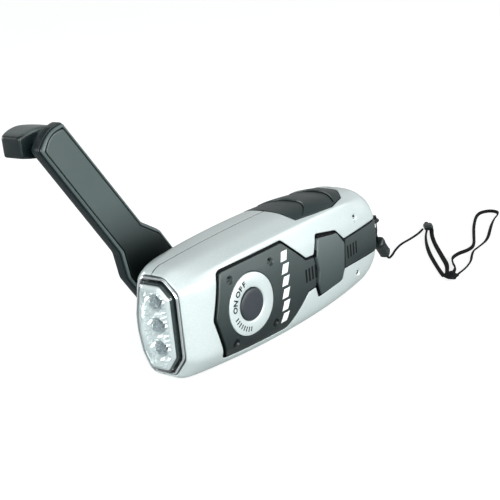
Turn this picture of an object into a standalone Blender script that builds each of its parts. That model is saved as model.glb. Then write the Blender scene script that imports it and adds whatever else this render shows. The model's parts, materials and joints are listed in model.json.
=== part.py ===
"""Hand-crank LED flashlight, standing on its narrow side with the crank unfolded.

Sizes are in millimetres: x counts from the lens plane along the body, y across it from the
parting plane (the button side is -y, the crank side +y) and z up from the centre line.
place() turns a point into metres in the part's frame, whose origin is the middle of the
flat face that the body rests on.
"""

import math

import bpy
import bmesh
from mathutils import Matrix, Vector

MM = 0.001
GAP = 0.3

# The part's frame
LENS_TO_ORIGIN = 75.0
CENTRE_HEIGHT = 27.4

# Body outline
TAIL_X = 145.5
WIDEST_X = 80.0
HALF_HEIGHT = 28.1
FRONT_DROP = 3.6
REAR_DROP = 4.4
THICKEST_X = 72.3
HALF_WIDTH = 22.55
WIDTH_FALL = 0.0009
NOSE_HEIGHT_IN = 2.0
NOSE_HEIGHT_X = 6.0
NOSE_WIDTH_IN = 3.9
NOSE_WIDTH_X = 16.0
TAIL_ROUND_Z = 13.0
TAIL_ROUND_Y = 5.0
ROUNDNESS = 3.15
FACET_LENGTH = 38.0
WALL = 2.2
SEAM_Y = 0.5
SEAM_GAP = 0.3

# Corners of the faceted nose, as shares of half width and half height
UPPER_FACET = (0.70, 0.45)
LOWER_FACET = (0.60, 0.48)

# Lens group
BEZEL_OUTLINE = [(6.0, 21.3), (13.0, 15.0), (12.8, -13.0), (6.2, -21.6)]
BEZEL_FRONT = -0.8
BEZEL_BACK = 2.9
BEZEL_WALL = 1.3
COVER_BULGE = 4.4
COVER_THICKNESS = 1.1
LED_PITCH = 10.3
LED_RADIUS = 2.5
CUP_RADIUS = 4.9
REFLECTOR_FRONT = 3.2
REFLECTOR_BACK = 10.5

# Button side
PANEL_PROUD = 0.25
PANEL_DEPTH = 1.0
BRIDGE_PROUD = 1.2
BRIDGE_BASE_PROUD = 0.45
RING_X = 36.2
RING_RADIUS = 14.06
BUTTON_RADIUS = 7.1
BUTTON_TRAVEL = 1.5
PANEL_HALF = [(13.4, 0.0), (18.6, 18.9), (20.0, 19.8), (61.5, 20.7), (76.3, 7.95), (82.6, 7.6), (84.1, 0.0)]
BRIDGE_BASE = [(84.5, -0.4), (83.0, 7.2), (87.0, 16.2), (102.9, 13.3), (109.2, 7.2)]
BRIDGE_BASE += [(107.5, -7.3), (105.2, -12.2), (84.9, -13.4), (82.8, -7.0)]
BRIDGE_FACE = [(84.5, -0.4), (83.3, 6.5), (85.9, 13.9), (102.7, 11.4), (108.5, 5.9)]
BRIDGE_FACE += [(106.9, -7.1), (104.8, -11.8), (85.1, -12.9), (83.1, -6.8)]
TAIL_PANEL = [(109.7, 7.3), (150.0, 7.9), (150.0, -8.9), (108.0, -6.9)]
TAIL_PANEL_END_Y = -5.5
RIB_COUNT = 4
RIB_HALF_LENGTH = 3.0
RIB_WIDTH = 0.8
RIB_DEPTH = 0.6
PANEL_RIBS = (75.1, 2.48)
TAIL_RIBS = (111.8, 2.78)
PANEL_SCREWS = [(25.1, 14.35), (25.1, -14.35), (51.5, 14.35), (51.5, -14.35)]
SHELL_SCREWS = [(122.5, 14.0), (122.5, -14.0)]
DIMPLE_RADIUS = 1.75
SCREW_HEAD_RADIUS = 1.45
SCREW_RADIUS = 0.8
SCREW_LENGTH = 11.0
POST_RADIUS = 2.3
POST_BORE = 1.15

# Grip pad on the upper narrow side
GRIP_HALF = [(77.6, 0.0), (76.6, 8.0), (78.8, 16.2), (92.6, 17.1), (106.9, 17.2), (120.7, 13.3), (128.3, 5.6)]
GRIP_THICKNESS = 1.4
GRIP_STEPS = [(76.0, 96.0), (96.0, 118.0), (118.0, 134.0)]
GRIP_STEP_RISE = 0.7

# Crank
PIVOT_X = 36.0
CRANK_ANGLE = 124.15
ARM_INNER_Y = 24.0
ARM_OUTER_Y = 30.5
ARM_REACH = 101.3
ARM_BULGE = 2.2
TIP_HALF_WIDTH = 8.3
SHOULDER_REACH = 38.0
SHOULDER_HALF_WIDTH = 9.0
HUB_RADIUS = 14.1
FLARE_REACH = 26.5
COVER_INSET = 1.1
COVER_PLATE = 1.0
SHAFT_RADIUS = 3.6
PIN_REACH = 97.5
PIN_RADIUS = 1.9
KNOB_INNER_Y = 33.0
KNOB_END_Y = 44.2
KNOB_DOME = 4.3
KNOB_HALF_LENGTH = 11.4
KNOB_END_HALF_HEIGHT = 4.3
KNOB_RISE = 2.0

# Gear train and generator
MODULE = 0.5
DRIVE_TEETH = 48
IDLER_PINION_TEETH = 12
IDLER_TEETH = 40
ROTOR_TEETH = 10
CENTRE_SLACK = 0.12
TOOTH_SHARE = 0.44
DRIVE_Y = (12.6, 15.4)
IDLER_GEAR_Y = (9.0, 11.8)
FRAME_Y = (4.2, 5.4)
ROTOR_RADIUS = 6.8
STATOR_INNER = 7.5
STATOR_OUTER = 12.8

# Button cells
FIRST_CELL_X = 94.0
CELL_PITCH = 6.2
CELL_LENGTH = 5.8
CELL_RADIUS = 7.7

# Lanyard
BAIL_X = 151.5
BAIL_Y = -12.0
BAIL_Z = 4.4
BAIL_HALF_WIDTH = 3.4
BAIL_RADIUS = 0.7
KEY_RING_RADIUS = 5.4
KEY_RING_WIRE = 0.6
KEY_RING_YAW = 25.0
CORD_RADIUS = 0.6
BAND_RADIUS = 0.8
FLOOR_Z = -CENTRE_HEIGHT


def place(x, y, z):
    """The point at (x, y, z) millimetres on the drawing, in metres in the part's frame."""
    return Vector(((x - LENS_TO_ORIGIN) * MM, y * MM, (z + CENTRE_HEIGHT) * MM))


FLAT_ON_SIDE = Matrix(((1, 0, 0, 0), (0, 0, -1, 0), (0, 1, 0, 0), (0, 0, 0, 1)))
FLAT_ACROSS = Matrix(((0, 0, 1, 0), (1, 0, 0, 0), (0, 1, 0, 0), (0, 0, 0, 1)))


def clear_scene():
    for obj in list(bpy.data.objects):
        bpy.data.objects.remove(obj, do_unlink=True)


def new_collection(name):
    collection = bpy.data.collections.new(name)
    bpy.context.scene.collection.children.link(collection)
    return collection


clear_scene()
PARTS = new_collection("hand_crank_flashlight")
CUTTERS = new_collection("cutters")


def material(name, colour, roughness, metallic=0.0, alpha=1.0):
    mat = bpy.data.materials.new(name)
    mat.use_nodes = True
    shader = mat.node_tree.nodes["Principled BSDF"]
    shader.inputs["Base Color"].default_value = (*colour, 1.0)
    shader.inputs["Roughness"].default_value = roughness
    shader.inputs["Metallic"].default_value = metallic
    shader.inputs["Alpha"].default_value = alpha
    mat.diffuse_color = (*colour, 1.0)
    return mat


SILVER_ABS = material("silver painted ABS", (0.62, 0.66, 0.66), 0.35, 0.3)
GRAPHITE_ABS = material("graphite ABS", (0.09, 0.11, 0.11), 0.45)
BLACK_ABS = material("black ABS", (0.035, 0.045, 0.047), 0.5)
SOFT_RUBBER = material("soft rubber", (0.05, 0.06, 0.06), 0.7)
CLEAR_PC = material("clear polycarbonate", (0.9, 0.93, 0.94), 0.05, 0.0, 0.3)
CHROMED_ABS = material("chromed ABS", (0.85, 0.87, 0.88), 0.08, 1.0)
WHITE_EPOXY = material("LED epoxy", (0.85, 0.88, 0.9), 0.1)
GREEN_LAMINATE = material("green laminate", (0.02, 0.16, 0.06), 0.5)
STEEL = material("plated steel", (0.6, 0.6, 0.62), 0.3, 1.0)
BRASS = material("brass", (0.7, 0.5, 0.2), 0.3, 1.0)
ACETAL = material("white acetal", (0.8, 0.8, 0.76), 0.5)
FERRITE = material("ferrite magnet", (0.06, 0.06, 0.07), 0.6)
COPPER = material("enamelled copper", (0.6, 0.25, 0.1), 0.35, 1.0)
CELL_SLEEVE = material("green cell sleeve", (0.05, 0.3, 0.12), 0.4)
BLACK_CORD = material("black polyester", (0.02, 0.02, 0.022), 0.85)


def link(obj, mat, parent=None):
    """Gives a finished piece its material, its collection and, if it moves, its axis."""
    obj.data.materials.clear()
    obj.data.materials.append(mat)
    for collection in list(obj.users_collection):
        collection.objects.unlink(obj)
    PARTS.objects.link(obj)
    if parent is not None:
        obj.parent = parent
        obj.matrix_parent_inverse = Matrix()
    return obj


def mesh_object(name, bm):
    mesh = bpy.data.meshes.new(name)
    bm.to_mesh(mesh)
    bm.free()
    obj = bpy.data.objects.new(name, mesh)
    CUTTERS.objects.link(obj)
    return obj


def as_cutter(obj):
    obj.hide_render = True
    obj.display_type = "WIRE"
    return obj


def applied(obj):
    """The object with its modifiers applied to its mesh."""
    graph = bpy.context.evaluated_depsgraph_get()
    mesh = bpy.data.meshes.new_from_object(obj.evaluated_get(graph))
    obj.modifiers.clear()
    obj.data = mesh
    return obj


def combine(obj, other, operation):
    """Adds, subtracts or intersects another solid, which then stays as a cutter."""
    modifier = obj.modifiers.new(operation.lower(), "BOOLEAN")
    modifier.operation = operation
    modifier.object = as_cutter(other)
    return applied(obj)


def cut(obj, other):
    return combine(obj, other, "DIFFERENCE")


def join(obj, other):
    return combine(obj, other, "UNION")


def box(name, low, high):
    """A block between two corners given as metres."""
    bm = bmesh.new()
    size = high - low
    bmesh.ops.create_cube(bm, size=1.0)
    bmesh.ops.scale(bm, vec=size, verts=bm.verts)
    bmesh.ops.translate(bm, vec=(low + high) / 2, verts=bm.verts)
    return mesh_object(name, bm)


def rod(name, start, end, radius, sides=24, end_radius=None):
    """A cylinder, or a cone, from one point to another, in metres."""
    bm = bmesh.new()
    span = end - start
    last = radius if end_radius is None else end_radius
    turn = span.to_track_quat("Z", "Y").to_matrix().to_4x4()
    bmesh.ops.create_cone(
        bm,
        cap_ends=True,
        segments=sides,
        radius1=radius * MM,
        radius2=last * MM,
        depth=span.length,
        matrix=Matrix.Translation((start + end) / 2) @ turn,
    )
    return mesh_object(name, bm)


def flat_solid(name, outlines, thickness, matrix):
    """Closed outlines in millimetres, the later ones as holes, given a thickness about their plane."""
    curve = bpy.data.curves.new(name, "CURVE")
    curve.dimensions = "2D"
    curve.fill_mode = "BOTH"
    curve.extrude = thickness * MM / 2
    for outline in outlines:
        spline = curve.splines.new("POLY")
        spline.points.add(len(outline) - 1)
        for point, (u, v) in zip(spline.points, outline):
            point.co = (u * MM, v * MM, 0, 1)
        spline.use_cyclic_u = True
    source = bpy.data.objects.new(name, curve)
    CUTTERS.objects.link(source)
    graph = bpy.context.evaluated_depsgraph_get()
    mesh = bpy.data.meshes.new_from_object(source.evaluated_get(graph))
    bpy.data.objects.remove(source)
    bm = bmesh.new()
    bm.from_mesh(mesh)
    bmesh.ops.remove_doubles(bm, verts=bm.verts, dist=1e-6)
    bmesh.ops.transform(bm, matrix=matrix, verts=bm.verts)
    bmesh.ops.recalc_face_normals(bm, faces=bm.faces)
    return mesh_object(name, bm)


def side_plate(name, outlines, low_y, high_y, centre=(0.0, 0.0)):
    """A flat solid that lies across y, its outlines drawn in x and z about a centre."""
    middle = Matrix.Translation(place(centre[0], (low_y + high_y) / 2, centre[1]))
    return flat_solid(name, outlines, high_y - low_y, middle @ FLAT_ON_SIDE)


def cross_plate(name, outlines, low_x, high_x):
    """A flat solid that lies across x, its outlines drawn in y and z."""
    middle = Matrix.Translation(place((low_x + high_x) / 2, 0, 0))
    return flat_solid(name, outlines, high_x - low_x, middle @ FLAT_ACROSS)


def circle(radius, sides=32, centre=(0.0, 0.0)):
    turns = [2 * math.pi * (k + 0.5) / sides for k in range(sides)]
    return [(centre[0] + radius * math.cos(t), centre[1] + radius * math.sin(t)) for t in turns]


def mirrored(points):
    """An outline's upper half, followed by the same points below the centre line, backwards."""
    below = [(x, -z) for x, z in reversed(points) if abs(z) > 1e-6]
    return points + below


def grown(outline, margin):
    """The outline moved outwards by a margin, with mitred corners."""
    area = sum(a[0] * b[1] - b[0] * a[1] for a, b in zip(outline, outline[1:] + outline[:1]))
    side = 1.0 if area > 0 else -1.0
    moved = []
    for before, here, after in zip(outline[-1:] + outline[:-1], outline, outline[1:] + outline[:1]):
        first = (Vector(here) - Vector(before)).normalized()
        second = (Vector(after) - Vector(here)).normalized()
        normal_a = Vector((first.y, -first.x)) * side
        normal_b = Vector((second.y, -second.x)) * side
        miter = (normal_a + normal_b).normalized()
        reach = margin / max(0.3, miter.dot(normal_a))
        moved.append((here[0] + miter.x * reach, here[1] + miter.y * reach))
    return moved


def both_sides(outline):
    """A half outline in y and z, closed with its mirror image."""
    return outline + [(-y, z) for y, z in reversed(outline)]


def tube(name, points, radius, resolution=2):
    """A round bar or cord along points in metres."""
    curve = bpy.data.curves.new(name, "CURVE")
    curve.dimensions = "3D"
    curve.bevel_depth = radius * MM
    curve.bevel_resolution = resolution
    curve.use_fill_caps = True
    spline = curve.splines.new("POLY")
    spline.points.add(len(points) - 1)
    for target, point in zip(spline.points, points):
        target.co = (*point, 1)
    obj = bpy.data.objects.new(name, curve)
    CUTTERS.objects.link(obj)
    return obj


def meshed(obj):
    """The same shape as a closed mesh instead of a curve."""
    graph = bpy.context.evaluated_depsgraph_get()
    mesh = bpy.data.meshes.new_from_object(obj.evaluated_get(graph))
    name = obj.name
    bpy.data.objects.remove(obj)
    bm = bmesh.new()
    bm.from_mesh(mesh)
    bmesh.ops.remove_doubles(bm, verts=bm.verts, dist=1e-6)
    bmesh.ops.recalc_face_normals(bm, faces=bm.faces)
    return mesh_object(name, bm)


def bevelled(obj, width, segments=1, angle=35.0):
    modifier = obj.modifiers.new("bevel", "BEVEL")
    modifier.width = width * MM
    modifier.segments = segments
    modifier.limit_method = "ANGLE"
    modifier.angle_limit = math.radians(angle)
    return obj


def smooth(obj, angle=40.0):
    obj.data.shade_smooth()
    obj.data.set_sharp_from_angle(angle=math.radians(angle))
    return obj


def axis_empty(name, location, turn=0.0, parent=None):
    """An empty on a joint's axis, turned about y."""
    empty = bpy.data.objects.new(name, None)
    PARTS.objects.link(empty)
    empty.empty_display_size = 0.01
    empty.rotation_euler = (0, turn, 0)
    empty.location = location
    if parent is not None:
        empty.parent = parent
    return empty


def hung_on(obj, empty):
    """Keeps the piece where it is and hangs it on the empty, with its origin there."""
    bpy.context.view_layer.update()
    obj.data.transform(empty.matrix_world.inverted())
    return obj


# Body surface


def half_height(x):
    if x < WIDEST_X:
        height = HALF_HEIGHT - FRONT_DROP * ((WIDEST_X - x) / WIDEST_X) ** 2
    else:
        height = HALF_HEIGHT - REAR_DROP * ((x - WIDEST_X) / (TAIL_X - WIDEST_X)) ** 2.2
    height -= NOSE_HEIGHT_IN * max(0.0, 1 - x / NOSE_HEIGHT_X) ** 2
    return height - rounding(x, TAIL_ROUND_Z)


def half_width(x):
    width = HALF_WIDTH - WIDTH_FALL * (x - THICKEST_X) ** 2
    width -= NOSE_WIDTH_IN * max(0.0, 1 - x / NOSE_WIDTH_X) ** 2
    return width - rounding(x, TAIL_ROUND_Y)


def rounding(x, radius):
    """How far a quarter round of this radius at the tail draws the outline in."""
    along = min(1.0, max(0.0, (x - TAIL_X + radius) / radius))
    return radius * (1 - math.sqrt(1 - along * along))


def facet_reach(c, s, facet):
    """Distance to the edge of an octagon of half sizes 1, whose corners a facet pair gives."""
    down, across = facet
    scale = 1 - down * across
    return min(1 / max(c, 1e-9), 1 / max(s, 1e-9), scale / ((1 - down) * c + (1 - across) * s))


def section_point(x, angle):
    """The body's outline at x in a direction, 0 towards +y and 90 towards +z, in degrees."""
    c = abs(math.cos(math.radians(angle)))
    s = abs(math.sin(math.radians(angle)))
    facet = UPPER_FACET if math.sin(math.radians(angle)) > 0 else LOWER_FACET
    soft = (c**ROUNDNESS + s**ROUNDNESS) ** (-1 / ROUNDNESS)
    share = max(0.0, 1 - x / FACET_LENGTH)
    share = share * share * (3 - 2 * share)
    reach = share * facet_reach(c, s, facet) + (1 - share) * soft
    y = math.copysign(reach * c, math.cos(math.radians(angle))) * half_width(x)
    z = math.copysign(reach * s, math.sin(math.radians(angle))) * half_height(x)
    return y, max(z, FLOOR_Z)


def corner_angle(down, across):
    return math.degrees(math.atan2(down, across))


UPPER_LOW = corner_angle(UPPER_FACET[0], 1)
UPPER_HIGH = corner_angle(1, UPPER_FACET[1])
LOWER_LOW = corner_angle(LOWER_FACET[0], 1)
LOWER_HIGH = corner_angle(1, LOWER_FACET[1])
UPPER = [0, 18, UPPER_LOW, 44, 51, 58, UPPER_HIGH, 78]
LOWER = [17, LOWER_LOW, 42, 50, 57, LOWER_HIGH, 77, 90]
DIRECTIONS = UPPER + [180 - a for a in reversed([*UPPER[1:], 90])] + [180]
DIRECTIONS += [180 + a for a in LOWER] + [360 - a for a in reversed(LOWER[:-1])]
STATIONS = [0, 2.2, 6, 12, 20, 29, 40, 52, 66, 80, 93, 105, 117, 126, 132.5]
STATIONS += [137.5, 141.2, 143.8, 145.0, 145.5]
GRIP_STATIONS = [70, 76, 82, 89, 95.7, 96.3, 103, 110, 117.7, 118.3, 123, 128.5, 133]


def body_skin(name, stations, rise=None, capped=True):
    """The body's outer surface as an open mesh, which a rise can lift along each section."""
    bm = bmesh.new()
    rows = []
    for x in stations:
        row = []
        for angle in DIRECTIONS:
            y, z = section_point(x, angle)
            if rise is not None:
                lift = 1 + rise(x, y) / math.hypot(y, z)
                y *= lift
                z *= lift
            row.append(bm.verts.new(place(x, y, z)))
        rows.append(row)
    if capped:
        for share in (0.6, 0.3):
            ends = [section_point(TAIL_X, angle) for angle in DIRECTIONS]
            rows.append([bm.verts.new(place(TAIL_X, y * share, z * share)) for y, z in ends])
        middle = bm.verts.new(place(TAIL_X, 0, 0))
        last = rows[-1]
        for a, b in zip(last, last[1:] + last[:1]):
            bm.faces.new((a, b, middle))
    for row, following in zip(rows, rows[1:]):
        for k in range(len(row)):
            j = (k + 1) % len(row)
            bm.faces.new((row[k], row[j], following[j], following[k]))
    bmesh.ops.recalc_face_normals(bm, faces=bm.faces)
    if capped and middle.normal.x < 0:
        bmesh.ops.reverse_faces(bm, faces=bm.faces)
    return mesh_object(name, bm)


def thickened(obj, inner, outer):
    """The skin between a depth below its surface and a height above it."""
    modifier = obj.modifiers.new("wall", "SOLIDIFY")
    modifier.thickness = (inner + outer) * MM
    modifier.offset = (outer - inner) / (outer + inner)
    modifier.use_even_offset = True
    return applied(obj)


def side_patch(name, outline, inner, outer, margin=0.0, last_y=-6.0):
    """The part of the button side's skin within an outline drawn in x and z."""
    patch = thickened(body_skin(name, STATIONS), inner, outer)
    window = side_plate(name + " window", [grown(outline, margin)], -40.0, last_y)
    return combine(patch, window, "INTERSECT")


# Casing


def nose_outline(margin):
    return grown(both_sides(BEZEL_OUTLINE), margin)


def build_shells():
    half_gap = SEAM_GAP / 2
    front = thickened(body_skin("front_shell", STATIONS), WALL, 0)
    back = thickened(body_skin("back_shell", STATIONS), WALL, 0)
    front_half = box("front half", place(-20, -60, -60), place(170, SEAM_Y - half_gap, 60))
    back_half = box("back half", place(-20, SEAM_Y + half_gap, -60), place(170, 60, 60))
    combine(front, front_half, "INTERSECT")
    combine(back, back_half, "INTERSECT")
    rebate = cross_plate("bezel rebate", [nose_outline(GAP)], -3, BEZEL_BACK + GAP)
    for shell in (front, back):
        cut(shell, rebate)
    for outline in (mirrored(PANEL_HALF), BRIDGE_BASE, TAIL_PANEL):
        end_y = TAIL_PANEL_END_Y + GAP
        cut(front, side_patch("panel recess", outline, PANEL_DEPTH + GAP, 3.0, GAP, end_y))
    recess = grip_solid("grip recess", 3.0, GRIP_THICKNESS + GAP, GAP)
    for shell in (front, back):
        cut(shell, recess)
    axis = button_axis_points()
    cut(front, rod("button hole", axis(-6), axis(6), BUTTON_RADIUS + 0.45, 32))
    cut(back, rod("bush hole", place(PIVOT_X, 12, 0), place(PIVOT_X, 30, 0), 6.3, 32))
    for x, z in PANEL_SCREWS + SHELL_SCREWS:
        cut(front, rod("screw hole", place(x, -30, z), place(x, -14, z), DIMPLE_RADIUS, 16))
        post_end = -side_depth(x, z) + WALL + 1.6
        back_wall = side_depth(x, z) - WALL / 2
        join(back, rod("post", place(x, post_end, z), place(x, back_wall, z), POST_RADIUS, 16))
        cut(back, rod("post bore", place(x, post_end - 1, z), place(x, 4, z), POST_BORE, 12))
    for leg in (-1, 1):
        y = BAIL_Y + leg * BAIL_HALF_WIDTH
        cut(front, rod("bail hole", place(TAIL_X - 6, y, BAIL_Z), place(TAIL_X + 4, y, BAIL_Z), BAIL_RADIUS + GAP, 12))
    link(smooth(front, 30), SILVER_ABS)
    link(smooth(back, 30), SILVER_ABS)


def side_depth(x, z):
    """How far the wide side lies from the parting plane."""
    high = min(0.999, abs(z) / half_height(x))
    return half_width(x) * (1 - high**ROUNDNESS) ** (1 / ROUNDNESS)


def button_axis_points():
    """Points on the button's axis, by depth under the skin: it stands square to the surface."""
    slope = -2 * WIDTH_FALL * (RING_X - THICKEST_X)
    inward = Vector((slope, 1, 0)).normalized()
    top = Vector((RING_X, -half_width(RING_X), 0))
    return lambda depth: place(*(top + inward * depth))


# Grip pad


def grip_rise(x, y):
    """A rise that climbs towards the rear of each scale, so that it ends in a step."""
    for start, end in GRIP_STEPS:
        if start <= x < end:
            share = (x - start) / (end - start)
            side = max(0.0, 1 - (abs(y) / 17.0) ** 4)
            return GRIP_STEP_RISE * (share - 0.5) * side
    return 0.0


def grip_solid(name, outer, thickness, margin):
    """The skin over the grip's outline on the upper narrow side."""
    skin = body_skin(name, GRIP_STATIONS, grip_rise, capped=False)
    thickened(skin, thickness, outer)
    outline = grown(mirrored(GRIP_HALF), margin)
    upward = Matrix.Translation(place(0, 0, 30))
    window = flat_solid(name + " window", [outline], 40.0, upward)
    return combine(skin, window, "INTERSECT")


def build_grip():
    link(smooth(grip_solid("grip_insert", 0.05, GRIP_THICKNESS, 0), 30), SOFT_RUBBER)


# Lens group


def build_lens_group():
    outer = nose_outline(0)
    inner = nose_outline(-BEZEL_WALL)
    bezel = cross_plate("lens_bezel", [outer, inner], BEZEL_FRONT, BEZEL_BACK)
    link(bevelled(bezel, 0.35), CHROMED_ABS)
    gasket = cross_plate("lens_gasket", [nose_outline(-BEZEL_WALL - GAP), nose_outline(-BEZEL_WALL - 1.7)], 1.9, 2.9)
    link(gasket, SOFT_RUBBER)
    link(lens_cover(), CLEAR_PC)
    link(reflector(), CHROMED_ABS)
    for k in (1, 2, 3):
        link(smooth(led(f"led_{k}", (2 - k) * LED_PITCH)), WHITE_EPOXY)
    board = cross_plate("led_board", [nose_outline(-BEZEL_WALL - 0.6)], REFLECTOR_BACK + 0.4, REFLECTOR_BACK + 1.6)
    link(board, GREEN_LAMINATE)


def lens_cover():
    """A clear shell over the octagon, bulging forwards, closed by its thickness."""
    rim = nose_outline(-BEZEL_WALL - GAP)
    shares = (1.0, 0.86, 0.66, 0.4)
    bm = bmesh.new()

    def surface(forward, shrink):
        rows = []
        for share in shares:
            depth = COVER_FLANGE - forward * (1 - share**2.6)
            size = share * shrink
            rows.append([bm.verts.new(place(depth, y * size, z * size)) for y, z in rim])
        tip = bm.verts.new(place(COVER_FLANGE - forward, 0, 0))
        for row, following in zip(rows, rows[1:]):
            for k in range(len(row)):
                j = (k + 1) % len(row)
                bm.faces.new((row[k], row[j], following[j], following[k]))
        for a, b in zip(rows[-1], rows[-1][1:] + rows[-1][:1]):
            bm.faces.new((a, b, tip))
        return rows[0]

    front = surface(COVER_BULGE + COVER_FLANGE, 1.0)
    back = surface(COVER_BULGE + COVER_FLANGE - COVER_THICKNESS, 0.9)
    for k in range(len(front)):
        j = (k + 1) % len(front)
        bm.faces.new((front[k], front[j], back[j], back[k]))
    bmesh.ops.recalc_face_normals(bm, faces=bm.faces)
    return mesh_object("lens_cover", bm)


COVER_FLANGE = 1.6


def reflector():
    """A block with a cone-shaped cup around each LED."""
    block = cross_plate("reflector", [nose_outline(-BEZEL_WALL - 0.5)], REFLECTOR_FRONT, REFLECTOR_BACK)
    for k in (-1, 0, 1):
        z = k * LED_PITCH
        mouth = place(REFLECTOR_FRONT - 0.5, 0, z)
        floor = place(REFLECTOR_BACK - 1.2, 0, z)
        cut(block, rod("cup", mouth, floor, CUP_RADIUS, 20, LED_RADIUS + 0.6))
        cut(block, rod("cup hole", place(0, 0, z), place(20, 0, z), LED_RADIUS + 0.4, 16))
    return block


def led(name, z):
    """A round LED body that ends in a dome."""
    back = REFLECTOR_BACK
    front = back - 9.5
    body = rod(name, place(front + 2.2, 0, z), place(back, 0, z), LED_RADIUS, 16)
    dome = rod("dome", place(front + 0.8, 0, z), place(front + 2.3, 0, z), LED_RADIUS * 0.72, 16, LED_RADIUS)
    tip = rod("tip", place(front, 0, z), place(front + 0.9, 0, z), LED_RADIUS * 0.3, 16, LED_RADIUS * 0.74)
    return join(join(body, dome), tip)


# Button side


def build_panels():
    axis = button_axis_points()
    panel = side_patch("control_panel", mirrored(PANEL_HALF), PANEL_DEPTH, PANEL_PROUD)
    cut(panel, rod("ring window", axis(-6), axis(6), RING_RADIUS + GAP, 40))
    for x, z in PANEL_SCREWS:
        cut(panel, rod("dimple", place(x, -30, z), place(x, -14, z), DIMPLE_RADIUS, 16))
    tail = side_patch("tail_panel", TAIL_PANEL, PANEL_DEPTH, PANEL_PROUD, 0, TAIL_PANEL_END_Y)
    for target, (first, pitch) in ((panel, PANEL_RIBS), (tail, TAIL_RIBS)):
        for k in range(RIB_COUNT):
            cut(target, rib_cutter(first + k * pitch))
    for leg in (-1, 1):
        y = BAIL_Y + leg * BAIL_HALF_WIDTH
        cut(tail, rod("bail hole", place(TAIL_X - 6, y, BAIL_Z), place(TAIL_X + 4, y, BAIL_Z), BAIL_RADIUS + GAP, 12))
    link(smooth(panel, 30), GRAPHITE_ABS)
    link(smooth(tail, 30), GRAPHITE_ABS)
    bridge = side_patch("panel_bridge", BRIDGE_BASE, PANEL_DEPTH, BRIDGE_BASE_PROUD)
    join(bridge, side_patch("bridge face", BRIDGE_FACE, PANEL_DEPTH - 0.4, BRIDGE_PROUD))
    link(smooth(bridge, 30), GRAPHITE_ABS)
    ring_outline = circle(RING_RADIUS, 40, (RING_X, 0))
    ring = side_patch("button_ring", ring_outline, PANEL_DEPTH, PANEL_PROUD + 0.1)
    cut(ring, rod("button window", axis(-6), axis(6), BUTTON_RADIUS + 0.35, 32))
    link(smooth(ring, 30), SILVER_ABS)


def rib_cutter(x):
    """A short upright groove in the panel's surface."""
    depth = side_depth(x, 0) + PANEL_PROUD
    low = place(x - RIB_WIDTH / 2, -depth - 1, -RIB_HALF_LENGTH)
    high = place(x + RIB_WIDTH / 2, -depth + RIB_DEPTH, RIB_HALF_LENGTH)
    return box("rib groove", low, high)


def build_button():
    axis = button_axis_points()
    empty = axis_empty("button_axis", axis(0))
    cap = rod("power_button", axis(-0.5), axis(2.9), BUTTON_RADIUS, 32)
    join(cap, rod("crown", axis(-1.0), axis(-0.4), BUTTON_RADIUS * 0.72, 32, BUTTON_RADIUS * 0.985))
    join(cap, rod("flange", axis(2.8), axis(3.6), BUTTON_RADIUS + 1.4, 32))
    join(cap, rod("stem", axis(3.5), axis(4.2), 1.8, 16))
    link(smooth(hung_on(cap, empty)), BLACK_ABS, empty)
    switch = box("tact_switch", place(RING_X - 3, -15.0, -3), place(RING_X + 3, -13.5, 3))
    join(switch, rod("plunger", place(RING_X, -15.4, 0), place(RING_X, -14.5, 0), 1.7, 16))
    link(switch, BLACK_ABS)
    board = box("circuit_board", place(19, -13.2, -11.2), place(66, -12.0, 11.2))
    link(board, GREEN_LAMINATE)


def screw(name, x, z):
    """A countersunk-in-a-dimple casing screw that bites into a post."""
    top = -side_depth(x, z) + 0.9
    head = rod(name, place(x, top, z), place(x, top + 1.0, z), SCREW_HEAD_RADIUS, 12)
    return join(head, rod("shank", place(x, top + 0.9, z), place(x, top + SCREW_LENGTH, z), SCREW_RADIUS, 10))


def build_screws():
    for k, (x, z) in enumerate(PANEL_SCREWS):
        link(screw(f"panel_screw_{k + 1}", x, z), STEEL)
    for k, (x, z) in enumerate(SHELL_SCREWS):
        link(screw(f"shell_screw_{k + 1}", x, z), STEEL)


# Crank


def arm_outline(inset=0.0):
    """The arm from hub to tip, along u from the pivot and v across."""
    half = math.radians(180)
    hub = [
        (-HUB_RADIUS * math.sin(half * k / 10), -HUB_RADIUS * math.cos(half * k / 10))
        for k in range(11)
    ]
    side = [(FLARE_REACH, HUB_RADIUS), (SHOULDER_REACH, SHOULDER_HALF_WIDTH), (ARM_REACH, TIP_HALF_WIDTH)]
    tip = [
        (ARM_REACH + ARM_BULGE * math.cos(half * v / 2), TIP_HALF_WIDTH * v * -1)
        for v in (-0.66, -0.33, 0.0, 0.33, 0.66)
    ]
    other = [(u, -v) for u, v in reversed(side)]
    return grown(hub + side + tip + other, -inset)


def arm_plate(name, outlines, low_y, high_y):
    """A flat solid in the arm's plane, in place."""
    turn = Matrix.Rotation(-math.radians(CRANK_ANGLE), 4, "Y")
    middle = Matrix.Translation(place(PIVOT_X, (low_y + high_y) / 2, 0))
    return flat_solid(name, outlines, high_y - low_y, middle @ turn @ FLAT_ON_SIDE)


def arm_point(reach, y):
    angle = math.radians(CRANK_ANGLE)
    return place(PIVOT_X + reach * math.cos(angle), y, reach * math.sin(angle))


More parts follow.
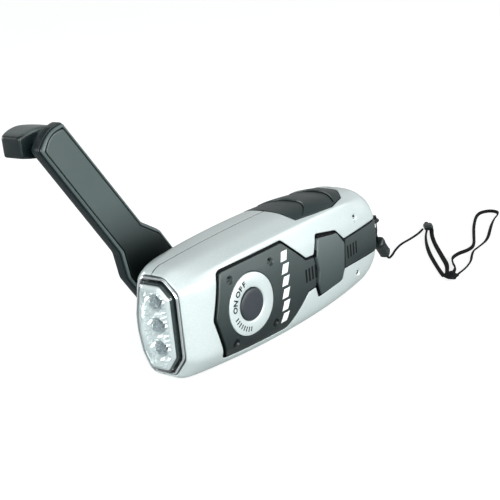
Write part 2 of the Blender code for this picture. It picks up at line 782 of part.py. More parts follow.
def build_crank():
    pivot = place(PIVOT_X, 0, 0)
    empty = axis_empty("crank_axis", pivot, -math.radians(CRANK_ANGLE))
    arm = arm_plate("crank_arm", [arm_outline()], ARM_INNER_Y, ARM_OUTER_Y)
    bevelled(arm, 0.9)
    applied(arm)
    pocket_floor = ARM_INNER_Y + COVER_PLATE + GAP
    cut(arm, arm_plate("cover pocket", [arm_outline(COVER_INSET - GAP)], ARM_INNER_Y - 2, pocket_floor))
    cut(arm, rod("shaft socket", place(PIVOT_X, 20, 0), place(PIVOT_X, 28.5, 0), SHAFT_RADIUS + GAP, 24))
    cut(arm, rod("hub screw hole", place(PIVOT_X, 20, 0), place(PIVOT_X, 34, 0), 1.8, 16))
    cut(arm, rod("hub screw seat", place(PIVOT_X, 29.2, 0), place(PIVOT_X, 34, 0), 3.4, 20))
    cut(arm, rod("pin hole", arm_point(PIN_REACH, 20), arm_point(PIN_REACH, 34), PIN_RADIUS + GAP, 16))
    cut(arm, rod("pin seat", arm_point(PIN_REACH, 20), arm_point(PIN_REACH, 26.8), 3.5, 20))
    link(smooth(hung_on(arm, empty), 30), BLACK_ABS, empty)
    plate = arm_plate("crank_arm_cover", [arm_outline(COVER_INSET)], ARM_INNER_Y, ARM_INNER_Y + COVER_PLATE)
    cut(plate, rod("cover hole", place(PIVOT_X, 20, 0), place(PIVOT_X, 34, 0), SHAFT_RADIUS + GAP, 24))
    link(hung_on(plate, empty), BLACK_ABS, empty)
    shaft = rod("crank_shaft", place(PIVOT_X, 6.0, 0), place(PIVOT_X, 28.2, 0), SHAFT_RADIUS, 24)
    cut(shaft, rod("thread", place(PIVOT_X, 22, 0), place(PIVOT_X, 30, 0), 1.6, 12))
    link(smooth(hung_on(shaft, empty)), STEEL, empty)
    screw_head = rod("hub_screw", place(PIVOT_X, 29.5, 0), place(PIVOT_X, 30.6, 0), 3.0, 20)
    join(screw_head, rod("thread", place(PIVOT_X, 23.5, 0), place(PIVOT_X, 29.6, 0), 1.25, 12))
    link(smooth(hung_on(screw_head, empty)), STEEL, empty)
    pin = rod("knob_pin", arm_point(PIN_REACH, 25.4), arm_point(PIN_REACH, 26.5), 3.1, 20)
    join(pin, rod("pin shank", arm_point(PIN_REACH, 26.4), arm_point(PIN_REACH, 41.0), PIN_RADIUS, 16))
    link(smooth(hung_on(pin, empty)), STEEL, empty)
    build_drive_gear(empty)
    build_knob(empty)
    bush = rod("shaft_bush", place(PIVOT_X, 17.6, 0), place(PIVOT_X, 22.9, 0), 6.0, 24)
    join(bush, rod("flange", place(PIVOT_X, 22.2, 0), place(PIVOT_X, 22.9, 0), 7.6, 24))
    cut(bush, rod("bush bore", place(PIVOT_X, 10, 0), place(PIVOT_X, 30, 0), SHAFT_RADIUS + GAP, 24))
    link(smooth(bush), ACETAL)


def knob_section(u):
    """Half height and outer depth of the knob at u along its length."""
    share = abs(u) / KNOB_HALF_LENGTH
    half = KNOB_END_HALF_HEIGHT + KNOB_RISE * (1 - share**1.6)
    return half, KNOB_END_Y + KNOB_DOME * (1 - share**2)


def build_knob(crank_empty):
    """A block that swells towards its middle, lofted along its length, on a round neck."""
    centre = arm_point(PIN_REACH, 0)
    bm = bmesh.new()
    rows = []
    for k in range(9):
        u = KNOB_HALF_LENGTH * (k / 4 - 1)
        half, outer = knob_section(u)
        corners = [(KNOB_INNER_Y, -half), (outer, -half), (outer, half), (KNOB_INNER_Y, half)]
        rows.append([bm.verts.new(centre + Vector((u, y, z)) * MM) for y, z in corners])
    for row, following in zip(rows, rows[1:]):
        for a in range(4):
            b = (a + 1) % 4
            bm.faces.new((row[a], row[b], following[b], following[a]))
    bm.faces.new(rows[0])
    bm.faces.new(rows[-1])
    bmesh.ops.recalc_face_normals(bm, faces=bm.faces)
    knob = mesh_object("crank_knob", bm)
    applied(bevelled(knob, 0.7, 1, 45))
    join(knob, rod("neck", arm_point(PIN_REACH, 31.0), arm_point(PIN_REACH, 33.5), 5.0, 20))
    cut(knob, rod("knob bore", arm_point(PIN_REACH, 28), arm_point(PIN_REACH, 41.6), PIN_RADIUS + GAP, 16))
    bpy.context.view_layer.update()
    local = crank_empty.matrix_world.inverted() @ centre
    empty = axis_empty("knob_axis", local, math.radians(CRANK_ANGLE), crank_empty)
    link(smooth(hung_on(knob, empty), 30), BLACK_ABS, empty)


# Gear train and generator


def gear_outline(teeth, phase):
    """Straight-flanked teeth around a circle, the first one at the phase, in degrees."""
    pitch_radius = MODULE * teeth / 2
    step = 2 * math.pi / teeth
    points = []
    for k in range(teeth):
        middle = math.radians(phase) + k * step
        for radius, share in (
            (pitch_radius - 1.2 * MODULE, -0.68),
            (pitch_radius + 0.9 * MODULE, -0.22),
            (pitch_radius + 0.9 * MODULE, 0.22),
            (pitch_radius - 1.2 * MODULE, 0.68),
        ):
            angle = middle + share * TOOTH_SHARE * step
            points.append((radius * math.cos(angle), radius * math.sin(angle)))
    return points


def idler_x():
    return PIVOT_X + MODULE * (DRIVE_TEETH + IDLER_PINION_TEETH) / 2 + CENTRE_SLACK


def rotor_x():
    return idler_x() + MODULE * (IDLER_TEETH + ROTOR_TEETH) / 2 + CENTRE_SLACK


def build_drive_gear(crank_empty):
    outline = gear_outline(DRIVE_TEETH, 0)
    bore = circle(SHAFT_RADIUS + GAP, 24)
    gear = side_plate("drive_gear", [outline, bore], *DRIVE_Y, (PIVOT_X, 0))
    link(hung_on(gear, crank_empty), ACETAL, crank_empty)


def build_generator():
    x = idler_x()
    empty = axis_empty("idler_axis", place(x, 0, 0))
    wheel = side_plate("idler_gear", [gear_outline(IDLER_TEETH, 0)], *IDLER_GEAR_Y, (x, 0))
    phase = 180 / IDLER_PINION_TEETH
    pinion = side_plate("idler pinion", [gear_outline(IDLER_PINION_TEETH, phase)], IDLER_GEAR_Y[1] - 0.4, 15.9, (x, 0))
    join(wheel, pinion)
    cut(wheel, rod("idler bore", place(x, 0, 0), place(x, 20, 0), 1.3, 12))
    link(hung_on(wheel, empty), ACETAL, empty)
    link(rod("gear_axle", place(x, 3.8, 0), place(x, 18.2, 0), 1.0, 12), STEEL)

    x = rotor_x()
    empty = axis_empty("rotor_axis", place(x, 0, 0))
    shaft = rod("rotor_shaft", place(x, -9.6, 0), place(x, 13.0, 0), 1.0, 12)
    link(hung_on(shaft, empty), STEEL, empty)
    phase = 180 / ROTOR_TEETH
    outline = gear_outline(ROTOR_TEETH, phase)
    pinion = side_plate("rotor_pinion", [outline, circle(1.0 + GAP, 12)], 8.4, 12.4, (x, 0))
    link(hung_on(pinion, empty), BRASS, empty)
    magnet = side_plate("rotor_magnet", [circle(ROTOR_RADIUS, 28), circle(1.0 + GAP, 12)], -7.6, 2.6, (x, 0))
    link(hung_on(magnet, empty), FERRITE, empty)
    core = side_plate("stator_core", [circle(STATOR_OUTER, 32), circle(STATOR_INNER, 32)], -8.4, 3.4, (x, 0))
    groove = side_plate("coil groove", [circle(STATOR_OUTER + 2, 32), circle(8.6, 32)], -6.8, 1.8, (x, 0))
    cut(core, groove)
    link(smooth(core), STEEL)
    coil = side_plate("stator_coil", [circle(STATOR_OUTER - 0.8, 32), circle(8.9, 32)], -6.5, 1.5, (x, 0))
    link(smooth(coil), COPPER)

    frame = side_plate("gear_frame", [rounded_rectangle(20.6, 78, 11.6, 3.0)], *FRAME_Y)
    for px, pz in ((23.2, 8.8), (23.2, -8.8), (75.0, 8.8), (75.0, -8.8)):
        join(frame, rod("pillar", place(px, FRAME_Y[0] + 0.3, pz), place(px, 17.0, pz), 1.9, 12))
    cut(frame, rod("rotor bearing", place(x, 0, 0), place(x, 9, 0), 1.3, 12))
    cut(frame, rod("axle seat", place(idler_x(), 0, 0), place(idler_x(), 9, 0), 1.3, 12))
    link(frame, BLACK_ABS)


def rounded_rectangle(low_x, high_x, half_z, radius):
    corners = []
    for cx, cz, start in (
        (high_x - radius, half_z - radius, 0),
        (low_x + radius, half_z - radius, 90),
        (low_x + radius, radius - half_z, 180),
        (high_x - radius, radius - half_z, 270),
    ):
        for k in range(4):
            angle = math.radians(start + 30 * k)
            corners.append((cx + radius * math.cos(angle), cz + radius * math.sin(angle)))
    return corners


def build_battery():
    for k in range(3):
        start = place(FIRST_CELL_X + k * CELL_PITCH, 0, 0)
        end = place(FIRST_CELL_X + k * CELL_PITCH + CELL_LENGTH, 0, 0)
        link(smooth(rod(f"battery_cell_{k + 1}", start, end, CELL_RADIUS, 24)), CELL_SLEEVE)
    cradle = box("battery_cradle", place(96.0, 1.0, -9.8), place(110.0, 18.6, 9.8))
    cut(cradle, rod("cell bed", place(90, 0, 0), place(120, 0, 0), 8.1, 24))
    link(cradle, BLACK_ABS)


# Lanyard


def curve_through(route, spacing):
    """Points at a steady spacing on a smooth curve through the route, in millimetres."""
    dense = []
    padded = [route[0] * 2 - route[1], *route, route[-1] * 2 - route[-2]]
    for p0, p1, p2, p3 in zip(padded, padded[1:], padded[2:], padded[3:]):
        for k in range(24):
            t = k / 24
            spread = 2 * p1 + (p2 - p0) * t + (2 * p0 - 5 * p1 + 4 * p2 - p3) * t * t
            spread += (3 * p1 - p0 - 3 * p2 + p3) * t * t * t
            dense.append(spread / 2)
    dense.append(route[-1])
    lengths = [0.0]
    for a, b in zip(dense, dense[1:]):
        lengths.append(lengths[-1] + (b - a).length)
    count = max(2, round(lengths[-1] / spacing))
    points = []
    index = 0
    for k in range(count + 1):
        target = lengths[-1] * k / count
        while index < len(dense) - 2 and lengths[index + 1] < target:
            index += 1
        step = lengths[index + 1] - lengths[index]
        share = 0 if step == 0 else (target - lengths[index]) / step
        points.append(dense[index].lerp(dense[index + 1], share))
    print(f"route of {lengths[-1]:.1f} mm in {count + 1} points")
    return points


def cord(name, route, radius, spacing=3.0):
    points = [place(*p) for p in curve_through([Vector(p) for p in route], spacing)]
    return link(tube(name, points, radius), BLACK_CORD)


CORD_Z = FLOOR_Z + CORD_RADIUS + 0.1
BAND_Z = FLOOR_Z + BAND_RADIUS + 0.1
LEAD_ROUTE = [(154.4, -10.7, -5.1), (155.4, -10.3, -6.6), (156.6, -9.7, -8.3), (157.7, -9.2, -9.6)]
BEAD_START = (158.0, -9.1, -9.9)
BEAD_END = (170.2, -5.6, -20.6)
THIN_ROUTE = [
    (170.4, -5.5, -20.9),
    (172.8, -4.8, -23.1),
    (177.0, -3.6, -25.7),
    (184.0, -1.2, CORD_Z),
    (193.0, 1.8, CORD_Z),
    (203.0, 4.0, CORD_Z),
    (214.0, 4.2, CORD_Z),
    (224.0, 5.0, CORD_Z),
    (232.0, 6.7, CORD_Z),
]
CLASP = (235.5, 4.9)
CLASP_TURN = 37.0
STOP_KNOT = (240.0, 8.3)
BAND_ROUTES = {
    "strap_band_left": [(231.5, 3.5), (219.5, -2.4), (206.5, -10.2), (194.0, -19.0), (181.5, -29.0), (170.5, -38.2), (164.6, -43.5)],
    "strap_band_right": [(233.0, 1.4), (220.0, -6.4), (206.7, -15.8), (190.8, -28.4), (179.5, -37.2), (167.5, -43.9)],
}
KNOT = (163.4, -48.2)
LOOP_ROUTE = [
    (168.9, -46.4),
    (176.5, -43.8),
    (183.5, -38.8),
    (190.5, -34.9),
    (198.0, -34.3),
    (205.5, -36.0),
    (212.4, -35.6),
    (220.0, -32.6),
    (229.0, -28.0),
    (244.0, -20.4),
    (257.0, -14.6),
    (266.5, -11.2),
    (273.5, -10.6),
    (278.0, -13.8),
    (277.4, -18.8),
    (272.6, -21.6),
    (264.0, -23.6),
    (254.0, -26.8),
    (244.0, -30.6),
    (233.0, -34.9),
    (224.0, -37.5),
    (215.0, -38.6),
    (206.5, -39.4),
    (199.0, -42.0),
    (190.0, -45.8),
    (180.0, -48.2),
    (169.2, -49.0),
]


def build_lanyard():
    half = BAIL_HALF_WIDTH
    across = [(TAIL_X - 2.6, -half), (BAIL_X - 1.4, -half), (BAIL_X - 0.4, 0.4 - half), (BAIL_X, 1.4 - half)]
    across += [(x, -y) for x, y in reversed(across)]
    bail = meshed(tube("lanyard_bail", [place(x, BAIL_Y + y, BAIL_Z) for x, y in across], BAIL_RADIUS))
    link(smooth(bail), STEEL)
    build_key_ring()
    cord("strap_lead", LEAD_ROUTE, CORD_RADIUS, 1.5)
    start = place(*BEAD_START)
    end = place(*BEAD_END)
    bead = rod("strap_bead", start, end, 2.8, 12, 3.1)
    applied(bevelled(bead, 0.8))
    link(smooth(bead, 30), BLACK_ABS)
    cord("strap_thin_cord", THIN_ROUTE, CORD_RADIUS, 3.2)
    clasp = box("strap_clasp", Vector((-3.6, -2.7, 0.1)) * MM, Vector((3.6, 2.7, 3.0)) * MM)
    turned = Matrix.Translation(place(*CLASP, FLOOR_Z)) @ Matrix.Rotation(math.radians(CLASP_TURN), 4, "Z")
    clasp.data.transform(turned)
    link(bevelled(clasp, 0.5), BLACK_ABS)
    link(knot("strap_stop_knot", STOP_KNOT, (1.5, 1.3, 1.3), CLASP_TURN), BLACK_CORD)
    for name, route in BAND_ROUTES.items():
        cord(name, on_table(route), BAND_RADIUS, 4.6)
    link(knot("strap_knot", KNOT, (4.4, 3.6, 2.0), 60.0), BLACK_CORD)
    cord("strap_loop", on_table(LOOP_ROUTE), BAND_RADIUS, 4.2)


def on_table(route):
    return [(x, y, BAND_Z) for x, y in route]


def build_key_ring():
    """The split ring that hangs on the bail, turned a little out of the body's plane."""
    centre = place(BAIL_X, BAIL_Y, BAIL_Z - KEY_RING_RADIUS + KEY_RING_WIRE + BAIL_RADIUS + 0.3)
    stand = Matrix.Rotation(math.radians(90), 4, "X")
    turn = Matrix.Rotation(math.radians(KEY_RING_YAW), 4, "Z")
    points = [turn @ stand @ Vector((KEY_RING_RADIUS * MM * math.cos(a), KEY_RING_RADIUS * MM * math.sin(a), 0)) for a in ring_angles(28)]
    wire = tube("strap_ring", [centre + p for p in points], KEY_RING_WIRE)
    wire.data.splines[0].use_cyclic_u = True
    link(smooth(meshed(wire)), STEEL)


def ring_angles(count):
    return [2 * math.pi * k / count for k in range(count)]


def knot(name, centre, half_sizes, turn):
    """A flattened ball of cord, lying on the table."""
    bm = bmesh.new()
    bmesh.ops.create_uvsphere(bm, u_segments=12, v_segments=8, radius=MM)
    bmesh.ops.scale(bm, vec=half_sizes, verts=bm.verts)
    lift = Matrix.Translation(place(*centre, FLOOR_Z + half_sizes[2] + 0.1))
    bmesh.ops.transform(bm, matrix=lift @ Matrix.Rotation(math.radians(turn), 4, "Z"), verts=bm.verts)
    return smooth(mesh_object(name, bm))


build_shells()
build_grip()
build_lens_group()
build_panels()
build_button()
build_screws()
build_crank()
build_generator()
build_battery()
build_lanyard()
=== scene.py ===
# %% [markdown]
# # A hand-crank LED torch
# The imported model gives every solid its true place. This lesson dresses it: first the camera and the
# wrist strap, then the faceted body, the lens, the button side, the crank, and last the finishes
# and the light. Sizes are in millimetres on a drawing whose x runs back from the lens, y across the
# body towards the crank and z up from the middle, and one function turns them into the frame's metres.

# %% Load the frame
import json
import math

import bpy
import numpy as np
from mathutils import Matrix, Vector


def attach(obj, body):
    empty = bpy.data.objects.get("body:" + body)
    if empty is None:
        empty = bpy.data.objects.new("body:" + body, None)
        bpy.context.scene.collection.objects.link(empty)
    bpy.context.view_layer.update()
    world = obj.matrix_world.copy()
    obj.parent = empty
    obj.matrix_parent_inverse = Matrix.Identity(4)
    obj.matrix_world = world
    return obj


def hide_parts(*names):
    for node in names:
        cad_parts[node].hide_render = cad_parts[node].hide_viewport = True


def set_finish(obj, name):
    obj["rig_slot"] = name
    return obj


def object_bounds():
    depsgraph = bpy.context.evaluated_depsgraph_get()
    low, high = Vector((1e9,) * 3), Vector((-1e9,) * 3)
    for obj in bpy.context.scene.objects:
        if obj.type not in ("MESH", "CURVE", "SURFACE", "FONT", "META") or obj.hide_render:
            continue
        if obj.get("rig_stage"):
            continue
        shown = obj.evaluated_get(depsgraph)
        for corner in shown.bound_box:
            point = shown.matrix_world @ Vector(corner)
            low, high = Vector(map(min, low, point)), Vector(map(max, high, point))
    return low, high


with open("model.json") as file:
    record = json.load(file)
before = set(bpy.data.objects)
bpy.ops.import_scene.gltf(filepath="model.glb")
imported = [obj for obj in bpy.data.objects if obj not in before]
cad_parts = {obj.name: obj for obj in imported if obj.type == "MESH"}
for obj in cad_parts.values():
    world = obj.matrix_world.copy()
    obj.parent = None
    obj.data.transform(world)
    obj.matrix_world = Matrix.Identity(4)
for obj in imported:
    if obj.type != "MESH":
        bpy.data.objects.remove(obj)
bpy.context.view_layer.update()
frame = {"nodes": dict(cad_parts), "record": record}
LENS_TO_ORIGIN = 75.0
CENTRE_HEIGHT = 27.4


def in_frame(points):
    """Drawing millimetres to the frame's metres: shift the origin, then divide by 1000."""
    return (np.asarray(points, float) + (-LENS_TO_ORIGIN, 0.0, CENTRE_HEIGHT)) / 1000


def in_scene(name, data):
    """A new object of this data, linked to the scene."""
    obj = bpy.data.objects.new(name, data)
    bpy.context.scene.collection.objects.link(obj)
    return obj


# %% [markdown]
# ## The camera
# The torch was photographed from its lens end, a little above, with the camera slightly rolled. A long
# lens keeps the perspective mild. The camera's right, up and back directions are built from azimuth,
# elevation and roll, which is easier to check against a photograph than three Euler angles.

# %% Camera
CAMERA_PLACE = (-0.36494, -0.29674, 0.18613)
CAMERA_LENS = 75.97
AZIMUTH = -0.873296
ELEVATION = 0.304966
ROLL = -0.102645


def camera_axes(azimuth, elevation, roll):
    """Columns right, up and back: back points away from the view, and roll turns the other two."""
    level = math.cos(elevation)
    back = np.array([math.sin(azimuth) * level, -math.cos(azimuth) * level, math.sin(elevation)])
    right = np.array([math.cos(azimuth), math.sin(azimuth), 0.0])
    up = np.cross(back, right)
    c, s = math.cos(roll), math.sin(roll)
    return np.stack([c * right + s * up, c * up - s * right, back], axis=1)


def placed(axes, place):
    """The matrix of an object whose own axes are these three columns, at this place."""
    matrix = np.eye(4)
    matrix[:3, :3] = axes
    matrix[:3, 3] = place
    return Matrix(matrix.tolist())


camera_data = bpy.data.cameras.new("photo_camera")
camera_data.lens = CAMERA_LENS
camera_data.sensor_width = 36.0
camera_data.clip_start = 0.01
camera = in_scene("photo_camera", camera_data)
camera.matrix_world = placed(camera_axes(AZIMUTH, ELEVATION, ROLL), CAMERA_PLACE)
bpy.context.scene.camera = camera
print("camera lens", CAMERA_LENS, "mm")

# %% [markdown]
# ## Grids of points
# Every new piece is a grid: rows and columns of points worked out as whole arrays. A grid that closes
# repeats its first column, and a pole repeats one point, so one step welds points that fall together
# and turns a face that loses a side into a triangle. A solid whose faces point inwards has a negative
# volume, so the sum of its small pyramids tells whether to turn them over.

# %% Weld grids into a mesh
def weld(grids):
    """Points nearer than a micrometre become one, and faces keep only the corners that differ."""
    loose = np.concatenate([grid.reshape(-1, 3) for grid in grids])
    quads, start = [], 0
    for grid in grids:
        index = start + np.arange(grid.shape[0] * grid.shape[1]).reshape(grid.shape[:2])
        corners = [index[:-1, :-1], index[:-1, 1:], index[1:, 1:], index[1:, :-1]]
        quads.append(np.stack(corners, axis=-1).reshape(-1, 4))
        start += index.size
    quads = np.concatenate(quads)
    key = np.round(loose + 0.000137, 3)
    _, first, same = np.unique(key, axis=0, return_index=True, return_inverse=True)
    joined = same.reshape(-1)[quads]
    short = joined == np.roll(joined, -1, axis=1)
    sides_lost = short.sum(axis=1)
    picks = [(sides_lost == 0, [0, 1, 2, 3])]
    for lost in range(4):
        picks.append(((sides_lost == 1) & short[:, lost], [corner for corner in range(4) if corner != lost]))
    kept = [joined[rows][:, corners] for rows, corners in picks]
    sources = [quads[rows][:, corners] for rows, corners in picks]
    return loose[first], kept[0], np.concatenate(kept[1:]), first, sources[0], np.concatenate(sources[1:])


def volume(points, quads, triangles):
    """Six times the signed volume: the sum of the pyramids from the origin to each triangle."""
    halves = [quads[:, [0, 1, 2]], quads[:, [0, 2, 3]], triangles]
    a, b, c = np.concatenate(halves).T
    return float(np.einsum("ij,ij->", points[a], np.cross(points[b], points[c])))


def mesh_of(name, points, quads, triangles, uv=None, sharp=40.0):
    """A smooth-shaded object from points in drawing millimetres, turned the right way out."""
    if volume(points, quads, triangles) < 0:
        quads, triangles = quads[:, ::-1], triangles[:, ::-1]
        if uv is not None:
            uv = [part[:, ::-1] for part in uv]
    mesh = bpy.data.meshes.new(name)
    mesh.from_pydata(in_frame(points).tolist(), [], quads.tolist() + triangles.tolist())
    if uv is not None:
        layer = mesh.uv_layers.new(name="along")
        flat = np.concatenate([part.reshape(-1, 2) for part in uv])
        layer.data.foreach_set("uv", flat.reshape(-1).astype(np.float32))
    mesh.shade_smooth()
    mesh.set_sharp_from_angle(angle=math.radians(sharp))
    return in_scene(name, mesh)


def closed(grid):
    """The grid with its first column again at its end."""
    return np.concatenate([grid, grid[:, :1]], axis=1)


def solid(name, grids, sharp=40.0, uv=None):
    """A piece whose grids already close on each other."""
    points, quads, triangles, _, quad_source, triangle_source = weld(grids)
    if uv is not None:
        flat = uv.reshape(-1, 2)
        uv = [flat[quad_source], flat[triangle_source]]
    return mesh_of(name, points, quads, triangles, uv, sharp)


def walled(name, outer, inner):
    """A wall between matching outer and inner grids: wherever the outer skin ends, a face joins the two."""
    points, quads, triangles, first, _, _ = weld(outer)
    under = np.concatenate([grid.reshape(-1, 3) for grid in inner])[first]
    count = len(points)
    pairs = [np.stack([faces, np.roll(faces, -1, axis=1)], axis=-1) for faces in (quads, triangles)]
    edges = np.concatenate([pair.reshape(-1, 2) for pair in pairs])
    rim = edges[~np.isin(edges[:, 0] * count + edges[:, 1], edges[:, 1] * count + edges[:, 0])]
    walls = np.stack([rim[:, 1], rim[:, 0], rim[:, 0] + count, rim[:, 1] + count], axis=-1)
    quads = np.concatenate([quads, quads[:, ::-1] + count, walls])
    triangles = np.concatenate([triangles, triangles[:, ::-1] + count])
    return mesh_of(name, np.concatenate([points, under]), quads, triangles)


PIECES = []


def dress(obj, body, slot, *nodes):
    """Says which body carries the piece, which finish slot it takes and which solids it stands for."""
    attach(obj, body)
    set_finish(obj, slot)
    if nodes:
        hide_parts(*nodes)
    PIECES.append(obj.name)
    return obj


# %% [markdown]
# ## Lines and sweeps
# A cord is a section carried along a line. The line is a smooth curve through the points of its route,
# with points at an even distance. The section stands square to the line, its across direction level.

# %% Curves and sweeps
def running_length(line):
    """The distance along a line to each of its points."""
    return np.concatenate([[0.0], np.cumsum(np.linalg.norm(np.diff(line, axis=0), axis=1))])


def even(line, step):
    """Points at an even distance along a line, found by its running length."""
    along = running_length(line)
    at = np.linspace(0.0, along[-1], max(2, round(along[-1] / step) + 1))
    return np.stack([np.interp(at, along, line[:, axis]) for axis in range(line.shape[1])], axis=1)


def curve_through(route, step):
    """A cubic between each two points whose slope at a point is half the way between its neighbours."""
    p = np.array(route, float)
    p = np.vstack([2 * p[0] - p[1], p, 2 * p[-1] - p[-2]])
    t = np.linspace(0.0, 1.0, 24, endpoint=False)[None, :, None]
    a, b, c, d = (p[k : len(p) - 3 + k, None, :] for k in range(4))
    square, cube = 2 * a - 5 * b + 4 * c - d, 3 * b - a - 3 * c + d
    dense = (2 * b + (c - a) * t + square * t**2 + cube * t**3) / 2
    return even(np.vstack([dense.reshape(-1, 3), p[-2:-1]]), step)


def unit(vectors):
    return vectors / np.maximum(np.linalg.norm(vectors, axis=-1, keepdims=True), 1e-12)


def once_round(count):
    """Angles evenly round a circle, without the last one, which is the first again."""
    return np.linspace(0.0, 2 * math.pi, count, endpoint=False)


def capped(line, grid):
    """The rows closed round, with the line's two ends as poles before and after them."""
    first = np.repeat(line[:1, None], grid.shape[1], axis=1)
    last = np.repeat(line[-1:, None], grid.shape[1], axis=1)
    return closed(np.concatenate([first, grid, last]))


def swept(line, half_width, half_height, around=20, power=2.0, twist=0.0):
    """A rounded section at every point: across and up sizes, a superellipse's roundness and a twist."""
    count = len(line)
    ahead = unit(np.gradient(line, axis=0))
    across = unit(np.cross(np.array([0.0, 0.0, 1.0]), ahead))
    up = np.cross(ahead, across)
    turn = once_round(around)[None, :]
    u = np.sign(np.cos(turn)) * np.abs(np.cos(turn)) ** (2 / power) * np.reshape(half_width, (-1, 1))
    v = np.sign(np.sin(turn)) * np.abs(np.sin(turn)) ** (2 / power) * np.reshape(half_height, (-1, 1))
    c, s = np.cos(np.reshape(twist, (-1, 1))), np.sin(np.reshape(twist, (-1, 1)))
    u, v = c * u - s * v, s * u + c * v
    u, v = np.broadcast_to(u, (count, around))[..., None], np.broadcast_to(v, (count, around))[..., None]
    return capped(line, line[:, None] + u * across[:, None] + v * up[:, None])


def along_uv(line, around):
    """Texture coordinates in millimetres along the line and in turns about it, with the poles' rows."""
    along = running_length(line)
    along = np.concatenate([along[:1], along, along[-1:]])
    u, v = np.meshgrid(along, np.linspace(0.0, 1.0, around + 1), indexing="ij")
    return np.stack([u, v], axis=-1)


# %% [markdown]
# ## The wrist strap
# A thin braided cord leaves a small split ring, runs through a moulded bead down to the table and ends
# in a clasp. Two flat woven bands lead on from the clasp to a knot, and one long loop starts and ends in
# that knot. The cord is one piece from ring to clasp, because it really runs through the bead.

# %% Strap routes
FLOOR_Z = -CENTRE_HEIGHT
CORD_RADIUS = 0.6
CORD_STEP = 0.3
CORD_AROUND = 24
TAPE_HALF_THICK = 0.45
CORD_Z = FLOOR_Z + CORD_RADIUS + 0.1
LEAD_ROUTE = [(154.4, -10.7, -5.1), (155.4, -10.3, -6.6), (156.6, -9.7, -8.3), (157.7, -9.2, -9.6)]
BEAD_START = (158.0, -9.1, -9.9)
BEAD_END = (170.2, -5.6, -20.6)
THIN_ROUTE = [(170.4, -5.5, -20.9), (172.8, -4.8, -23.1), (177.0, -3.6, -25.7), (184.0, -1.2, CORD_Z)]
THIN_ROUTE += [(193.0, 1.8, CORD_Z), (203.0, 4.0, CORD_Z), (214.0, 4.2, CORD_Z), (224.0, 5.0, CORD_Z)]
THIN_ROUTE += [(232.0, 6.7, CORD_Z)]
LEFT_BAND = [(231.5, 3.5), (219.5, -2.4), (206.5, -10.2), (194.0, -19.0), (181.5, -29.0), (170.5, -38.2)]
LEFT_BAND += [(164.6, -43.5)]
RIGHT_BAND = [(233.0, 1.4), (220.0, -6.4), (206.7, -15.8), (190.8, -28.4), (179.5, -37.2), (167.5, -43.9)]
LOOP_ROUTE = [(168.9, -46.4), (176.5, -43.8), (183.5, -38.8), (190.5, -34.9), (198.0, -34.3), (205.5, -36.0)]
LOOP_ROUTE += [(212.4, -35.6), (220.0, -32.6), (229.0, -28.0), (244.0, -20.4), (257.0, -14.6)]
LOOP_ROUTE += [(266.5, -11.2), (273.5, -10.6), (278.0, -13.8), (277.4, -18.8), (272.6, -21.6)]
LOOP_ROUTE += [(264.0, -23.6), (254.0, -26.8), (244.0, -30.6), (233.0, -34.9), (224.0, -37.5)]
LOOP_ROUTE += [(215.0, -38.6), (206.5, -39.4), (199.0, -42.0), (190.0, -45.8), (180.0, -48.2), (169.2, -49.0)]
CLASP = (235.5, 4.9)
CLASP_TURN = 37.0
STOP_KNOT = (240.6, 8.9)
KNOT = (163.4, -48.2)
KNOT_TURN = 60.0


def length_of(line):
    return float(running_length(line)[-1])


# %% The cord from ring to clasp
cord_line = curve_through(LEAD_ROUTE + [BEAD_START, BEAD_END] + THIN_ROUTE, CORD_STEP)
strands = once_round(CORD_AROUND)[None, :]
along = np.arange(len(cord_line))[:, None] * CORD_STEP
# Eight strands that cross: two sets of waves run round the cord in opposite directions.
braid = CORD_RADIUS * (1 + 0.07 * np.cos(4 * strands + 3.2 * along) * np.cos(4 * strands - 3.2 * along))
grid = swept(cord_line, 1.0, 1.0, CORD_AROUND)
centre = np.concatenate([cord_line[:1], cord_line, cord_line[-1:]])[:, None]
scale = np.concatenate([np.ones((1, CORD_AROUND)), braid, np.ones((1, CORD_AROUND))])
grid = centre + (grid - centre) * closed(scale[..., None])
strap_cord = solid("strap_braided_cord", [grid], 60.0, along_uv(cord_line, CORD_AROUND))
dress(strap_cord, "casing", "strap_cord", "strap_lead", "strap_thin_cord")
print("cord", round(length_of(cord_line), 1), "mm in", len(cord_line), "points")


# %% Flat woven bands
def ribbon(name, route, half_width, turns, node):
    """A flat tape that rolls gently over on its way: its height above the table follows its roll."""
    level = curve_through([(x, y, 0.0) for x, y in route], 0.8)
    share = np.linspace(0.0, 1.0, len(level))
    roll = turns[0] + (turns[1] - turns[0]) * share + 0.35 * np.sin(share * turns[2] * 2 * math.pi)
    high = np.sqrt((half_width * np.sin(roll)) ** 2 + (TAPE_HALF_THICK * np.cos(roll)) ** 2)
    level[:, 2] = FLOOR_Z + high + 0.08
    tape = swept(level, half_width, TAPE_HALF_THICK, 20, 3.0, roll)
    obj = solid(name, [tape], 50.0, along_uv(level, 20))
    dress(obj, "casing", "strap_cord", node)
    print(name, round(length_of(level), 1), "mm")
    return obj, level


left_band, left_line = ribbon("strap_tape_left", LEFT_BAND, 1.1, (0.9, 0.2, 1.0), "strap_band_left")
right_band, right_line = ribbon("strap_tape_right", RIGHT_BAND, 1.3, (0.3, 1.1, 0.8), "strap_band_right")
hand_loop, loop_line = ribbon("strap_hand_loop", LOOP_ROUTE, 1.0, (1.2, 0.5, 2.5), "strap_loop")


